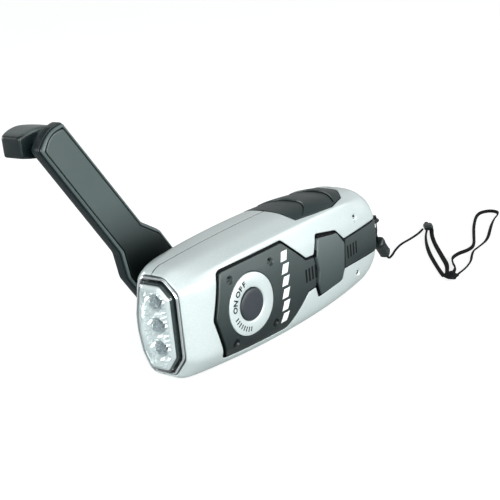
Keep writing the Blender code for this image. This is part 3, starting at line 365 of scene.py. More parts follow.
# %% Bead, clasp and knots
def capsule(name, start, end, half_width, half_height, power, rounding, waist_at=None):
    """A straight bar whose section grows over a quarter round at both ends. Past the place of its waist, if
    it has one, it is a little thinner until shortly before its far end."""
    start, end = np.array(start), np.array(end)
    length = np.linalg.norm(end - start)
    ends = rounding * (1 - np.cos(np.linspace(0.0, math.pi / 2, 8)))
    middle = np.linspace(rounding, length - rounding, 26)[1:-1]
    at = np.concatenate([ends, middle, length - ends[::-1]])
    near = np.minimum(at, length - at)
    inset = rounding - np.sqrt(np.maximum(0.0, rounding**2 - np.maximum(0.0, rounding - near) ** 2))
    if waist_at is not None:
        waist = np.clip((at - waist_at) / 0.35, 0, 1) * np.clip((length - 1.2 - at) / 0.35, 0, 1)
        inset = inset + 0.28 * waist
    line = start + (end - start) * (at / length)[:, None]
    return solid(name, [swept(line, half_width - inset, half_height - inset, 40, power)], 50.0)


bead = capsule("strap_flat_bead", BEAD_START, BEAD_END, 2.9, 3.1, 3.2, 1.7, 4.4)
dress(bead, "casing", "black_plastic", "strap_bead")


def turned(points, angle):
    """Points turned about the vertical by an angle in degrees."""
    c, s = math.cos(math.radians(angle)), math.sin(math.radians(angle))
    return points @ np.array([[c, s, 0.0], [-s, c, 0.0], [0.0, 0.0, 1.0]])


reach = turned(np.array([[3.6, 0.0, 0.0]]), CLASP_TURN)[0]
clasp_middle = np.array([*CLASP, FLOOR_Z + 1.55])
clasp = capsule("strap_cord_clasp", clasp_middle - reach, clasp_middle + reach, 2.6, 1.45, 3.6, 0.9)
dress(clasp, "casing", "black_plastic", "strap_clasp")


def knot(name, centre, half_sizes, turn, node):
    """A wound ball: a ball whose radius swells in slanting ridges, as turns of tape lying over each other."""
    lift = np.linspace(-math.pi / 2, math.pi / 2, 40)
    lift, around = np.meshgrid(lift, np.linspace(0, 2 * math.pi, 72), indexing="ij")
    level = np.cos(lift)
    ridge = 1 + 0.11 * np.cos(3 * around + 4.2 * lift) * level + 0.05 * np.cos(5 * around - 3 * lift) * level
    ball = np.stack([level * np.cos(around), level * np.sin(around), np.sin(lift)], axis=-1)
    ball = ball * ridge[..., None] * np.array(half_sizes)
    ball = turned(ball.reshape(-1, 3), turn).reshape(ball.shape)
    ball[:, -1] = ball[:, 0]
    grid = ball + np.array([*centre, FLOOR_Z + half_sizes[2] * 1.1 + 0.1])
    return dress(solid(name, [grid], 50.0), "casing", "strap_cord", node)


stop_knot = knot("strap_end_knot", STOP_KNOT, (1.45, 1.25, 1.15), CLASP_TURN, "strap_stop_knot")
main_knot = knot("strap_loop_knot", KNOT, (4.2, 3.4, 1.8), KNOT_TURN, "strap_knot")

# %% Split ring at the tail
RING_CENTRE = np.array([151.5, -12.0, 0.6])
RING_RADIUS = 5.4
RING_YAW = 25.0


def split_ring():
    """A helix of nearly two close turns of wire in an upright plane, turned a little about the vertical."""
    turn = np.linspace(0.0, 2 * math.pi * 1.93, 170)
    side_step = np.interp(turn, [0.0, 5.6, 6.9, 12.2], [-0.34, -0.34, 0.34, 0.34])
    flat = np.stack([RING_RADIUS * np.cos(turn), side_step, RING_RADIUS * np.sin(turn)], axis=1)
    return turned(flat, RING_YAW) + RING_CENTRE


WIRE_AROUND = 14


def wire(name, line, radius):
    """Round wire along a line, with frames that follow the line instead of the level."""
    ahead = unit(np.gradient(line, axis=0))
    middle = line.mean(axis=0)
    out = unit(line - middle - ahead * np.sum((line - middle) * ahead, axis=1, keepdims=True))
    side = np.cross(ahead, out)
    turn = once_round(WIRE_AROUND)[None, :, None]
    grid = line[:, None] + radius * (np.cos(turn) * out[:, None] + np.sin(turn) * side[:, None])
    return solid(name, [capped(line, grid)], 50.0)


dress(wire("tail_split_ring", split_ring(), 0.33), "casing", "plated_steel", "strap_ring")
bail_route = [(143.0, -3.4), (146.0, -3.4), (149.0, -3.35), (150.6, -2.6), (151.4, -1.2), (151.5, 0.0)]
bail_route += [(x, -y) for x, y in bail_route[-2::-1]]
bail_line = curve_through([(x, y - 12.0, 4.4) for x, y in bail_route], 0.35)
dress(wire("tail_wire_eye", bail_line, 0.7), "casing", "plated_steel", "lanyard_bail")

# %% [markdown]
# ## The body's surface
# The body is a long superellipse that flattens into an eight-sided nose. One function gives a point of its
# skin for a place along the body and an angle round it, with numpy arrays for both. Another raises points
# square to the skin. Angles run from 0 at the crank side over 90 at the top to 180 at the button side.

# %% Skin of the body
TAIL_X = 145.5
ROUNDNESS = 3.15
FACET_LENGTH = 38.0
FACET_SHARPNESS = 30.0
UPPER_FACET = (0.70, 0.45)
LOWER_FACET = (0.60, 0.48)
WALL = 2.2
CREASE = (0.6, 1.8)
CREASE_SHARPNESS = 80.0
CREASE_FADE = (116.0, 143.0)
NOSE_LENGTH = 16.0
NOSE_ANGLES = [-90, -70, -35, -8, 8, 36, 60, 80, 90]
NOSE_IN = [0.0, 0.02, 0.17, 0.07, 0.09, 0.3, 0.16, 0.02, 0.0]


def rounding(x, radius):
    """How far a quarter round of this radius at the tail draws the outline in."""
    share = np.clip((x - TAIL_X + radius) / radius, 0.0, 1.0)
    return radius * (1 - np.sqrt(1 - share**2))


def half_height(x):
    """A parabola that falls towards the lens, a steeper power towards the tail, less both end roundings."""
    front = 28.1 - 3.6 * (np.maximum(80.0 - x, 0.0) / 80.0) ** 2
    rear = 4.4 * (np.maximum(x - 80.0, 0.0) / 65.5) ** 2.2
    return front - rear - 2.0 * np.clip(1 - x / 6.0, 0, None) ** 2 - rounding(x, 13.0)


def half_width(x):
    """A parabola about the thickest place, less both end roundings."""
    return 22.55 - 0.0009 * (x - 72.3) ** 2 - 3.9 * np.clip(1 - x / 16.0, 0, None) ** 2 - rounding(x, 5.0)


def eased(share):
    """A share kept between 0 and 1, then eased in and out by a cubic."""
    share = np.clip(share, 0.0, 1.0)
    return share * share * (3 - 2 * share)


def crease_rise(wide, high, soft):
    """How far the soft minimum of two lines that touch the superellipse lies outside it."""
    lines = 0.0
    for ratio in CREASE:
        touch_high = (1 + ratio**ROUNDNESS) ** (-1 / ROUNDNESS)
        line = (wide * ratio ** (ROUNDNESS - 1) + high) * touch_high ** (ROUNDNESS - 1)
        lines = lines + line**CREASE_SHARPNESS
    between = (wide > CREASE[0] * high) & (wide < CREASE[1] * high)
    return np.where(between, np.maximum(lines ** (-1 / CREASE_SHARPNESS) - soft, 0.0), 0.0)


def skin(x, angle):
    """A superellipse of power 3.15, blended over the nose with the soft minimum of an octagon's sides. The
    upper button side has a crease, which dies out towards the tail. The crank side of the nose is drawn in
    towards the lens by a share that depends on the angle."""
    x, angle = np.broadcast_arrays(np.asarray(x, float), np.asarray(angle, float))
    c, s = np.cos(np.radians(angle)), np.sin(np.radians(angle))
    down = np.where(s > 0, UPPER_FACET[0], LOWER_FACET[0])
    across = np.where(s > 0, UPPER_FACET[1], LOWER_FACET[1])
    wide, high = np.abs(c), np.abs(s)
    soft = (wide**ROUNDNESS + high**ROUNDNESS) ** (-1 / ROUNDNESS)
    kept = eased((CREASE_FADE[1] - x) / (CREASE_FADE[1] - CREASE_FADE[0]))
    soft = soft + np.where((c < 0) & (s > 0), crease_rise(wide, high, soft) * kept, 0.0)
    corner = ((1 - down) * wide + (1 - across) * high) / (1 - down * across)
    power = FACET_SHARPNESS
    faceted = (wide**power + high**power + corner**power) ** (-1 / power)
    share = eased(1 - x / FACET_LENGTH)
    out = share * faceted + (1 - share) * soft
    drawn_in = np.interp((angle + 180) % 360 - 180, NOSE_ANGLES, NOSE_IN)
    drawn_in = drawn_in * np.clip(1 - x / NOSE_LENGTH, 0, 1) ** 2
    y = out * c * half_width(x) * (1 - drawn_in)
    return np.stack([x, y, np.maximum(out * s * half_height(x), FLOOR_Z)], axis=-1)


def skin_normal(x, angle):
    """The skin's own direction: the cross product of its two slopes, taken over short steps."""
    x = np.minimum(x, TAIL_X - 0.04)
    along = skin(x + 0.02, angle) - skin(x - 0.02, angle)
    round_it = skin(x, np.asarray(angle) + 0.3) - skin(x, np.asarray(angle) - 0.3)
    return unit(np.cross(round_it, along))


def angle_at(x, size, use_height, side, button=False):
    """Halving the search: the angle from the y axis where the section's height, or half width, is this size.
    It looks on the crank side, or on the button side, where the angle is counted from 180 degrees."""
    x, size = np.broadcast_arrays(np.asarray(x, float), np.abs(np.asarray(size, float)))
    low, high = np.zeros(x.shape), np.full(x.shape, 90.0)
    for _ in range(40):
        middle = (low + high) / 2
        point = np.abs(skin(x, 180 - side * middle if button else side * middle))
        past = point[..., 2] > size if use_height else point[..., 1] < size
        low, high = np.where(past, low, middle), np.where(past, middle, high)
    return (low + high) / 2


def side_angle(x, z):
    """The angle of the button side's point at a height z."""
    upper, lower = angle_at(x, z, True, 1, True), angle_at(x, z, True, -1, True)
    return np.where(np.asarray(z) > 0, 180 - upper, 180 + lower)


def side(x, z, lift=0.0):
    """A point over the button side. Past the tail plane, x runs on round the corner along the end face."""
    x, z, lift = np.broadcast_arrays(np.asarray(x, float), np.asarray(z, float), np.asarray(lift, float))
    on_body = np.minimum(x, TAIL_X)
    angle = side_angle(on_body, z)
    normal = np.where((x > TAIL_X)[..., None], np.array([1.0, 0.0, 0.0]), skin_normal(on_body, angle))
    point = skin(on_body, angle) + normal * lift[..., None]
    point[..., 1] += x - on_body
    return point


def top_angle(x, y):
    """The angle of the upper side's point at a distance y from the middle."""
    return np.where(y > 0, angle_at(x, y, False, 1), 180 - angle_at(x, y, False, 1, True))


def top(x, y, lift=0.0):
    """A point over the upper narrow side."""
    x, y, lift = np.broadcast_arrays(np.asarray(x, float), np.asarray(y, float), np.asarray(lift, float))
    angle = top_angle(x, y)
    return skin(x, angle) + skin_normal(x, angle) * lift[..., None]


print("body at the button:", side(36.2, 0.0).round(2), "top:", top(80.0, 0.0).round(2))

# %% [markdown]
# ## Outlines
# The graphite panels, the bridge and the grip are outlines drawn on the body. Moulded corners are never
# sharp, so each corner becomes a short curve. Moving every point square to the outline makes the gap
# round a panel and the rounded rim of its edge.

# %% Outline tools
def rounded(corners, radius, step=0.4):
    """Each corner becomes a quadratic curve between points cut off both its sides, then even spacing."""
    p = np.array(corners, float)
    before, after = np.roll(p, 1, axis=0) - p, np.roll(p, -1, axis=0) - p
    reach_before, reach_after = np.linalg.norm(before, axis=1), np.linalg.norm(after, axis=1)
    cut = np.minimum(radius, 0.42 * np.minimum(reach_before, reach_after))[:, None]
    start, end = p + unit(before) * cut, p + unit(after) * cut
    t = np.linspace(0.0, 1.0, 9)[None, :, None]
    arcs = (1 - t) ** 2 * start[:, None] + 2 * t * (1 - t) * p[:, None] + t**2 * end[:, None]
    line = np.roll(arcs.reshape(-1, 2), -4, axis=0)
    return even(np.vstack([line, line[:1]]), step)[:-1]


def offset(loop, distance):
    """Every point moved square to the outline, outwards when the distance is positive."""
    ahead = np.roll(loop, -1, axis=0) - np.roll(loop, 1, axis=0)
    area = np.sum(loop[:, 0] * np.roll(loop[:, 1], -1) - np.roll(loop[:, 0], -1) * loop[:, 1])
    outwards = unit(np.stack([ahead[:, 1], -ahead[:, 0]], axis=1)) * np.sign(area)
    return loop + outwards * distance


def between(start, end, shares):
    """Rows of points on the way from one row to another, one for each share of the way."""
    return [start + (end - start) * share for share in shares]


def laid(place, loops, lifts):
    """A grid of outlines laid over the body, each at its own lift."""
    loops = np.stack(loops)
    return place(loops[..., 0], loops[..., 1], np.reshape(lifts, (-1, 1)))


def mirrored(points):
    """The points, then the same ones backwards with the second size turned over."""
    return points + [(u, -v) for u, v in points[::-1] if abs(v) > 1e-6]


# Rim of a moulded edge: distance in from the edge, and how far the surface lies below its full height.
RIM_IN = np.array([0.0, 0.05, 0.14, 0.3])
RIM_DOWN = np.array([0.3, 0.14, 0.04, 0.0])


def lid(name, loop, height, depth, place, middle, rows):
    """A plate over an outline: flat underside, wall, rounded rim, then rows that shrink to the middle."""
    loops = [offset(loop, -inset) for inset in RIM_IN]
    inner = loops[-1]
    target = middle(inner) if callable(middle) else np.broadcast_to(middle, inner.shape)
    loops += between(target, inner, np.linspace(1.0, 0.0, rows + 1)[1:])
    face = laid(place, loops, np.append(height - RIM_DOWN, np.full(rows, height)))
    back = laid(place, between(target, loop, np.linspace(0.0, 1.0, 7)), -depth)
    return solid(name, [closed(np.concatenate([back, face]))])


# %% [markdown]
# ## The two body halves
# The button-side half has one large opening for the graphite parts. Its skin is cut into strips between the
# opening's edge and the parting line, in the flat space of body length and angle, so the strips fit the
# outline exactly. The crank-side half is one strip. Both get a wall and a rolled edge all round.

# %% Openings in the skin
PANEL_HALF = [(13.4, 0.0), (18.2, 17.2), (19.3, 19.0), (21.4, 19.8), (61.5, 20.7), (76.3, 7.95)]
PANEL_HALF += [(82.6, 7.6), (84.1, 0.0)]
BRIDGE_BASE = [(84.5, -0.4), (83.0, 7.2), (87.0, 16.2), (102.9, 13.3), (109.7, 6.9)]
BRIDGE_BASE += [(108.0, -7.0), (105.2, -12.2), (84.9, -13.4), (82.8, -7.0)]
BRIDGE_FACE = [(84.9, -0.4), (83.8, 6.4), (86.4, 14.5), (102.3, 12.3), (107.8, 5.9)]
BRIDGE_FACE += [(106.0, -7.0), (104.1, -11.3), (85.5, -12.3), (83.6, -6.7)]
TAIL_PANEL = [(109.7, 7.3), (155.5, 7.9), (155.5, -8.9), (108.0, -6.9)]
# The opening that takes all three: the panel's front, then the bridge's and the tail panel's own edges.
UNION = PANEL_HALF[:6] + [(82.9, 7.5), (87.0, 16.2), (102.9, 13.3), (109.4, 7.2), (152.7, 7.9), (152.7, -8.9)]
UNION += [(107.8, -6.9), (105.2, -12.2), (84.9, -13.4), (82.6, -7.55)]
UNION += [(x, -z) for x, z in PANEL_HALF[5:0:-1]]
GRIP_HALF = [(77.6, 0.0), (76.6, 8.0), (78.8, 16.2), (92.6, 17.1), (106.9, 17.2), (120.7, 13.3), (128.3, 5.6)]
EDGE_GAP = 0.4
# A rolled edge: how deep it lies, and how far it stands back, on its three lines from the edge inwards.
EDGE_DEPTH = np.array([0.32, 0.1, 0.0])
EDGE_BACK = np.array([0.0, 0.11, 0.35])
SEAM_DEPTH = np.array([0.03, 0.01, 0.0])
SEAM_BACK = np.array([0.0, 0.02, 0.06])
DIMPLE_RADIUS = 1.75
SHELL_DIMPLES = (122.5, 14.0)
hole_loops = [offset(rounded(UNION, 0.9, 0.15), EDGE_GAP + back) for back in EDGE_BACK]


def hole_edge(loop, sign, x):
    """The opening's edge as a height over x, from the tip of its nose back."""
    part = loop[loop[:, 1] * sign > 0]
    part = part[np.argsort(part[:, 0])]
    part = np.vstack([[loop[:, 0].min(), 0.0], part])
    return np.interp(x, part[:, 0], part[:, 1])


def stations(*spans):
    """Places along the body from (start, end, count) spans, each next one going on where the last ended."""
    return np.concatenate([np.linspace(a, b, n, endpoint=False) for a, b, n in spans])


TAIL_ROUND_X = 132.5
TIP_END_X = 22.0
TAIL_STATIONS = TAIL_ROUND_X + (TAIL_X - TAIL_ROUND_X) * np.sin(np.linspace(0.0, math.pi / 2, 26))
GRIP_KEYS = [0.0, 77.3, 78.6, 80.0, 92.6, 106.9, 120.7, 128.0, 130.0, TAIL_X]


def parting_edge(u, seam, back, sign):
    """The edge at the top: along the seam, round the grip's outline grown by the gap, and the seam again."""
    grip = offset(np.array(mirrored(GRIP_HALF), float), EDGE_GAP + back)[: len(GRIP_HALF)]
    y_seam = seam + sign * back
    xs = [0.0, grip[0, 0], *grip[1:, 0], grip[-1, 0], TAIL_X]
    ys = [y_seam, y_seam, *(sign * grip[1:, 1]), y_seam, y_seam]
    return np.interp(u, GRIP_KEYS, xs), np.interp(u, GRIP_KEYS, ys)


def bottom_angle(x, y):
    from_y = angle_at(x, y, False, -1)
    return np.where(y > 0, 360 - from_y, 180 + from_y)


def nose_drop(x):
    """The rolled edge at the lens end."""
    return np.interp(x, EDGE_BACK, EDGE_DEPTH)


def wall_depth(x):
    """Thin round the lens rim that lies in it, then the full wall."""
    return np.interp(x, [0.0, 3.2, 3.6], [0.62, WALL, WALL])


def shell_grids(x, angle, down):
    """Outer and inner points: the outer ones lowered by the rolled edges and screw dimples."""
    x, angle = np.broadcast_arrays(x, angle)
    point, normal = skin(x, angle), skin_normal(x, angle)
    away = np.hypot(point[..., 0] - SHELL_DIMPLES[0], np.abs(point[..., 2]) - SHELL_DIMPLES[1])
    dimple = 0.95 * np.clip((DIMPLE_RADIUS + 0.15 - away) / 0.35, 0, 1) * (point[..., 1] < 0)
    lowered = np.maximum(np.maximum(down, nose_drop(x)), dimple)
    return point - normal * lowered[..., None], point - normal * wall_depth(x)[..., None]


# %% Button-side half
FRONT_SEAM = 0.22
BACK_SEAM = 0.78
STRIP_ROWS = 46


def blended(low, high, count):
    """Two rolled edges, each given as three lines with its edge first, and rows that blend between them."""
    low, high = np.array(low), np.array(high)
    share = np.linspace(0.0, 1.0, count + 2)[1:-1, None]
    return np.concatenate([low, low[-1] + (high[-1] - low[-1]) * share, high[::-1]])


def front_strips(sign):
    """The strip between the opening and the parting line, above (sign 1) or below (sign -1)."""
    tips = [loop[:, 0].min() for loop in hole_loops]
    base = stations((tips[0], 17.6, 30), (17.6, TIP_END_X, 26), (TIP_END_X, 60.8, 60), (60.8, 62.4, 8))
    base = np.append(base, stations((62.4, 75.6, 26), (75.6, 77.2, 6), (77.2, 80.4, 18), (80.4, 82.4, 4)))
    base = np.append(base, stations((82.4, 87.6, 22)))
    base = np.append(base, stations((87.6, 102.0, 24), (102.0, 109.6, 20), (109.6, 119.6, 16)))
    base = np.append(base, stations((119.6, 125.4, 20), (125.4, 128.0, 4), (128.0, 130.0, 9)))
    base = np.concatenate([base, stations((130.0, TAIL_ROUND_X, 4)), TAIL_STATIONS])
    edge_x, edge_angle, seam_x, seam_angle = [], [], [], []
    for loop, tip, back in zip(hole_loops, tips, SEAM_BACK):
        in_tip = tip + (base - tips[0]) * (TIP_END_X - tip) / (TIP_END_X - tips[0])
        x = np.where(base < TIP_END_X, in_tip, base)
        z = hole_edge(loop, sign, x)
        z[0] = 0.0
        edge_x.append(x)
        angle = side_angle(x, np.where(z == 0, sign * 1e-9, z))
        edge_angle.append(np.where(np.arange(len(x)) == 0, 180.0, angle))
        if sign > 0:
            x, y = parting_edge(base, FRONT_SEAM, back, -1)
            seam_angle.append(top_angle(x, y))
        else:
            x, y = base, np.full(len(base), FRONT_SEAM - back)
            seam_angle.append(bottom_angle(x, y))
        seam_x.append(x)
    seam_x = [np.where(base < TIP_END_X, edge_x[2], line) for line in seam_x]
    down = np.concatenate([EDGE_DEPTH, np.zeros(STRIP_ROWS), SEAM_DEPTH[::-1]])[:, None]
    x, angle = blended(edge_x, seam_x, STRIP_ROWS), blended(edge_angle, seam_angle, STRIP_ROWS)
    behind = shell_grids(x, angle, down)
    start = np.append(EDGE_BACK, np.linspace(0.9, tips[2], 22))
    to_seam = top_angle if sign > 0 else bottom_angle
    seams = [to_seam(start, FRONT_SEAM - back) for back in SEAM_BACK]
    share = np.linspace(0.0, 1.0, STRIP_ROWS + 2)[1:-1, None]
    rows = np.concatenate([np.full((1, len(start)), 180.0), 180.0 + (seams[-1] - 180.0) * share, seams[::-1]])
    before = shell_grids(start[None, :], rows, down[2:])
    return behind, before


# The end wall's inner side is smaller than its outer one by these two factors.
END_IN_Y, END_IN_Z = 0.85, 0.8


def end_cap(edge, inner_edge, columns, down, seam_side):
    """Rows at the strip's own heights across the tail's end face: points outside it stay on its edge."""
    pick = np.maximum if seam_side > 0 else np.minimum
    y = pick(columns[None, :], edge[:, None, 1])
    at_edge = np.isclose(y, edge[:, None, 1])
    x = np.where(at_edge, edge[:, None, 0], TAIL_X - down)
    z = np.broadcast_to(edge[:, None, 2], y.shape)
    inside = np.stack([np.full(y.shape, TAIL_X - WALL), y * END_IN_Y, z * END_IN_Z], axis=-1)
    return np.stack([x, y, z], axis=-1), np.where(at_edge[..., None], inner_edge[:, None], inside)


WINDOW_Y = -5.2
before_window = np.linspace(-13.0, WINDOW_Y, 12, endpoint=False)
past_window = np.array([WINDOW_Y, WINDOW_Y + 0.11, WINDOW_Y + 0.35, -4.0, -3.0, -2.0, -1.0])
cap_columns = np.concatenate([before_window, past_window, FRONT_SEAM - SEAM_BACK[::-1]])
seam_down = np.interp(cap_columns, FRONT_SEAM - SEAM_BACK[::-1], SEAM_DEPTH[::-1])
outer, inner, cap_edges = [], [], []
for sign in (1, -1):
    behind, before = front_strips(sign)
    rows = np.concatenate([EDGE_DEPTH, np.zeros(len(behind[0]) - 3)])[:, None]
    down = np.where(cap_columns[None, :] <= WINDOW_Y + 1e-6, rows, seam_down[None, :])
    cap = end_cap(behind[0][:, -1], behind[1][:, -1], cap_columns, down, 1)
    outer += [behind[0], before[0], cap[0]]
    inner += [behind[1], before[1], cap[1]]
    cap_edges.append(cap[0][0])
bridging = np.stack(between(*cap_edges, np.linspace(0.0, 1.0, 16)))[:, len(before_window) :]
window_drop = np.append(EDGE_DEPTH, np.zeros(bridging.shape[1] - 3))
bridging[1:-1, :, 0] = TAIL_X - np.maximum(window_drop, seam_down[len(before_window) :])
outer.append(bridging)
inner.append(bridging * (1.0, END_IN_Y, END_IN_Z) - (WALL, 0.0, 0.0))
front_half = walled("body_half_button_side", outer, inner)
dress(front_half, "casing", "silver_paint", "front_shell")
print("button-side half:", len(front_half.data.polygons), "faces")

# %% Crank-side half
BACK_ROWS = 96
base = np.append(EDGE_BACK, stations((0.9, 76.0, 110), (76.0, 80.6, 20), (80.6, 127.6, 70)))
base = np.concatenate([base, stations((127.6, 130.4, 12), (130.4, TAIL_ROUND_X, 4)), TAIL_STATIONS])
edges = [parting_edge(base, BACK_SEAM, back, 1) for back in SEAM_BACK]
under = [bottom_angle(base, BACK_SEAM + back) - 360.0 for back in SEAM_BACK]
x = blended([base] * 3, [x for x, _ in edges], BACK_ROWS)
angle = blended(under, [top_angle(x_edge, y_edge) for x_edge, y_edge in edges], BACK_ROWS)
down = np.concatenate([SEAM_DEPTH, np.zeros(BACK_ROWS), SEAM_DEPTH[::-1]])[:, None]
shell = shell_grids(x, angle, down)
back_columns = np.concatenate([np.linspace(13.0, 1.5, 12), BACK_SEAM + SEAM_BACK[::-1]])
down = np.interp(back_columns, BACK_SEAM + SEAM_BACK, SEAM_DEPTH)
cap = end_cap(shell[0][:, -1], shell[1][:, -1], back_columns, down[None, :], -1)
back_half = walled("body_half_crank_side", [shell[0], cap[0]], [shell[1], cap[1]])
dress(back_half, "casing", "silver_paint", "back_shell")
print("crank-side half:", len(back_half.data.polygons), "faces")

# %% Tongue in the parting gap
SEAM_MIDDLE = (FRONT_SEAM + BACK_SEAM) / 2
TONGUE_DOWN = 0.28
above = np.linspace(1.0, 76.6, 150)
behind = np.append(stations((129.4, TAIL_ROUND_X, 6)), TAIL_STATIONS)
below = np.linspace(TAIL_X - 0.2, 1.0, 260)
paths = {"upper": skin(above, top_angle(above, SEAM_MIDDLE)) - (0.0, 0.0, TONGUE_DOWN)}
upper = top_angle(behind, SEAM_MIDDLE)
over = skin(behind, upper) - skin_normal(behind, upper) * TONGUE_DOWN
under = skin(below, bottom_angle(below, SEAM_MIDDLE)) + (0.0, 0.0, TONGUE_DOWN)
end_face = np.linspace(over[-1], under[0], 30)[1:-1]
end_face[:, 0] = TAIL_X - TONGUE_DOWN
paths["lower"] = np.vstack([over, end_face, under])


def tongue(name, line):
    """A flat strip along the gap: its width lies across the body, its thickness square to the run."""
    ahead = unit(np.gradient(line, axis=0))
    across = np.array([0.0, 1.0, 0.0])
    up = unit(np.cross(ahead, across))
    corners = [(-0.3, -0.2), (0.3, -0.2), (0.3, 0.2), (-0.3, 0.2)]
    grid = np.stack([line + u * across + v * up for u, v in corners], axis=1)
    return solid(name, [capped(line, grid)], 30.0)


# The tongues are matt black: painted shade in the parting gap.
for name, line in paths.items():
    dress(tongue(f"{name}_seam_tongue", line), "casing", "black_plastic")

# %% [markdown]
# ## Graphite panel, bridge and tail panel
# Each plate follows the body a little above it. Rows of points run from its outline inwards: the control
# panel's rows end on the circle of the switch ring, the bridge's climb a second step, and the tail panel's
# bend round the end of the body, measured along the surface so the bend stays even.

# %% Plates on the button side
TAIL_BEND = 5.0
RING_AT = (36.2, 0.0)
RING_RADIUS_OUT = 14.06
RING_HOLE = 7.45
PANEL_PROUD = 0.25
PANEL_DEPTH = 1.0
PANEL_INSET = 0.35
DIMPLES = [(25.1, 14.35), (25.1, -14.35), (51.5, 14.35), (51.5, -14.35)]


def round_end(u, z, lift):
    """The button side with u measured along the surface: a quarter circle's arc before the end face."""
    start = TAIL_X - TAIL_BEND
    arc = np.clip((u - start) / TAIL_BEND, 0.0, math.pi / 2)
    x = np.where(u < start, u, start + TAIL_BEND * np.sin(arc))
    past = np.maximum(u - start - TAIL_BEND * math.pi / 2, 0.0)
    return side(x + past, z, lift)


def facing_out(grid):
    """The rows turned round if this closed grid alone has a negative volume."""
    points, quads, triangles, *_ = weld([grid])
    return grid[::-1] if volume(points, quads, triangles) < 0 else grid


def dimple_depth(x, z):
    """A round pocket with a short sloping side round each screw."""
    depth = np.zeros(np.shape(x))
    for cx, cz in DIMPLES:
        away = np.hypot(x - cx, z - cz)
        depth = np.maximum(depth, 1.3 * np.clip((DIMPLE_RADIUS + 0.18 - away) / 0.36, 0.0, 1.0))
    return depth


def circle_towards(loop, radius):
    """For each outline point, the point of the ring's circle in the same direction."""
    ahead = loop - np.array(RING_AT)
    return np.array(RING_AT) + unit(ahead) * radius


def narrower(loop, least, more):
    """The outline drawn in, most where it looks up or forward: there the photograph shows the widest gap."""
    out = unit(offset(loop, 1.0) - loop)
    shown = np.clip(np.maximum(out[:, 1], -2.0 * out[:, 0]), 0.0, 1.7)
    return offset(loop, -(least + more * shown)[:, None])


CHAMFER_IN = (0.0, 0.04, 0.14, 0.34, 0.55)
CHAMFER_DOWN = (0.45, 0.22, 0.08, 0.01, 0.0)
# The rim round the ring: how far outside it, and how far down.
RING_RIM = ((0.6, 0.0), (0.46, 0.04), (0.37, 0.14), (0.32, 0.3), (0.32, 1.2))
PANEL_ROWS = 70
panel_loop = narrower(rounded(mirrored(PANEL_HALF), 1.2, 0.36), PANEL_INSET, 0.55)
loops = [offset(panel_loop, -inset) for inset in CHAMFER_IN]
lifts = [PANEL_PROUD - down for down in CHAMFER_DOWN]
circles = [circle_towards(panel_loop, RING_RADIUS_OUT + outside) for outside, _ in RING_RIM]
loops += between(loops[-1], circles[0], np.linspace(0.0, 1.0, PANEL_ROWS + 2)[1:-1])
lifts += [PANEL_PROUD] * PANEL_ROWS + [PANEL_PROUD - drop for _, drop in RING_RIM]
back_shares = np.linspace(0.0, 1.0, 8)
loops += circles + between(circles[-1], panel_loop, back_shares)
lifts += [-PANEL_DEPTH] * len(back_shares)
loops, lifts = np.stack(loops + loops[:1]), np.array(lifts + lifts[:1])[:, None]
pockets = np.where(lifts > 0, dimple_depth(loops[..., 0], loops[..., 1]), 0.0)
panel = solid("graphite_control_panel", [closed(side(loops[..., 0], loops[..., 1], lifts - pockets))], 32.0)
dress(panel, "casing", "graphite", "control_panel")


def spine(low, high, level):
    """Rows of a long plate shrink to a line along its middle, not to a point."""
    def onto(loop):
        return np.stack([np.clip(loop[:, 0], low, high), np.full(len(loop), level)], axis=1)
    return onto


tail_loop = narrower(rounded(TAIL_PANEL, 0.9, 0.36), 0.25, 0.35)
tail_middle = spine(114.0, 151.0, -0.4)
tail_panel = lid("graphite_tail_panel", tail_loop, PANEL_PROUD, PANEL_DEPTH, round_end, tail_middle, 22)
dress(tail_panel, "casing", "graphite", "tail_panel")

# %% Black tray under the plates: painted shade in their gap
def tray_loop(inset):
    return offset(rounded(UNION, 0.9, 0.3), EDGE_GAP - inset)


# The tray's rows of (inset, lift): up its outside, over a narrow rim and down to its floor.
TRAY_ROWS = [(0.02, -1.7), (0.02, -0.16), (0.06, -0.1), (0.16, -0.1), (0.2, -0.16), (0.26, -1.2)]
outside, under_lift = TRAY_ROWS[0]
inside, floor_lift = TRAY_ROWS[-1]
rim_row = tray_loop(inside)
tray_middle = spine(36.0, 148.0, -0.3)(rim_row)
loops = between(tray_middle, tray_loop(outside), np.linspace(0.0, 1.0, 12)[:-1])
lifts = [under_lift] * len(loops) + [lift for _, lift in TRAY_ROWS]
loops += [tray_loop(inset) for inset, _ in TRAY_ROWS]
loops += between(tray_middle, rim_row, np.linspace(1.0, 0.0, 40)[1:])
lifts += [floor_lift] * (len(loops) - len(lifts))
tray = solid("black_tray", [closed(laid(side, loops, lifts))], 32.0)
dress(tray, "casing", "black_plastic")

# %% The raised bridge
def matched(corners, radius, count):
    """An outline with a set number of points, so two of them can be joined row to row."""
    loop = rounded(corners, radius, 0.1)
    return even(np.vstack([loop, loop[:1]]), length_of(np.vstack([loop, loop[:1]])) / count)[:count]


bridge_middle = spine(89.0, 103.0, 0.3)
# The base is matt black: painted shade round the bridge's raised face.
base_loop = narrower(rounded(BRIDGE_BASE, 0.8, 0.36), 0.2, 0.3)
bridge_base = lid("bridge_base", base_loop, 0.45, PANEL_DEPTH, side, bridge_middle, 20)
dress(bridge_base, "casing", "black_plastic", "panel_bridge")
bridge_face = lid("bridge_face", rounded(BRIDGE_FACE, 0.8, 0.36), 1.2, 0.6, side, bridge_middle, 24)
dress(bridge_face, "casing", "graphite")

# %% Grip ribs and the plain bars
RIB_STARTS = (("panel_rib", 75.1, 2.48), ("tail_rib", 111.8, 2.78))
RIB_COUNT = 4
BAR_COUNT = 6


def bar(name, corners, radius, height, depth):
    """A small lid over the body whose rows shrink to its middle point."""
    loop = rounded(corners, radius, 0.12)
    return lid(name, loop, height, depth, side, loop.mean(axis=0), 6)


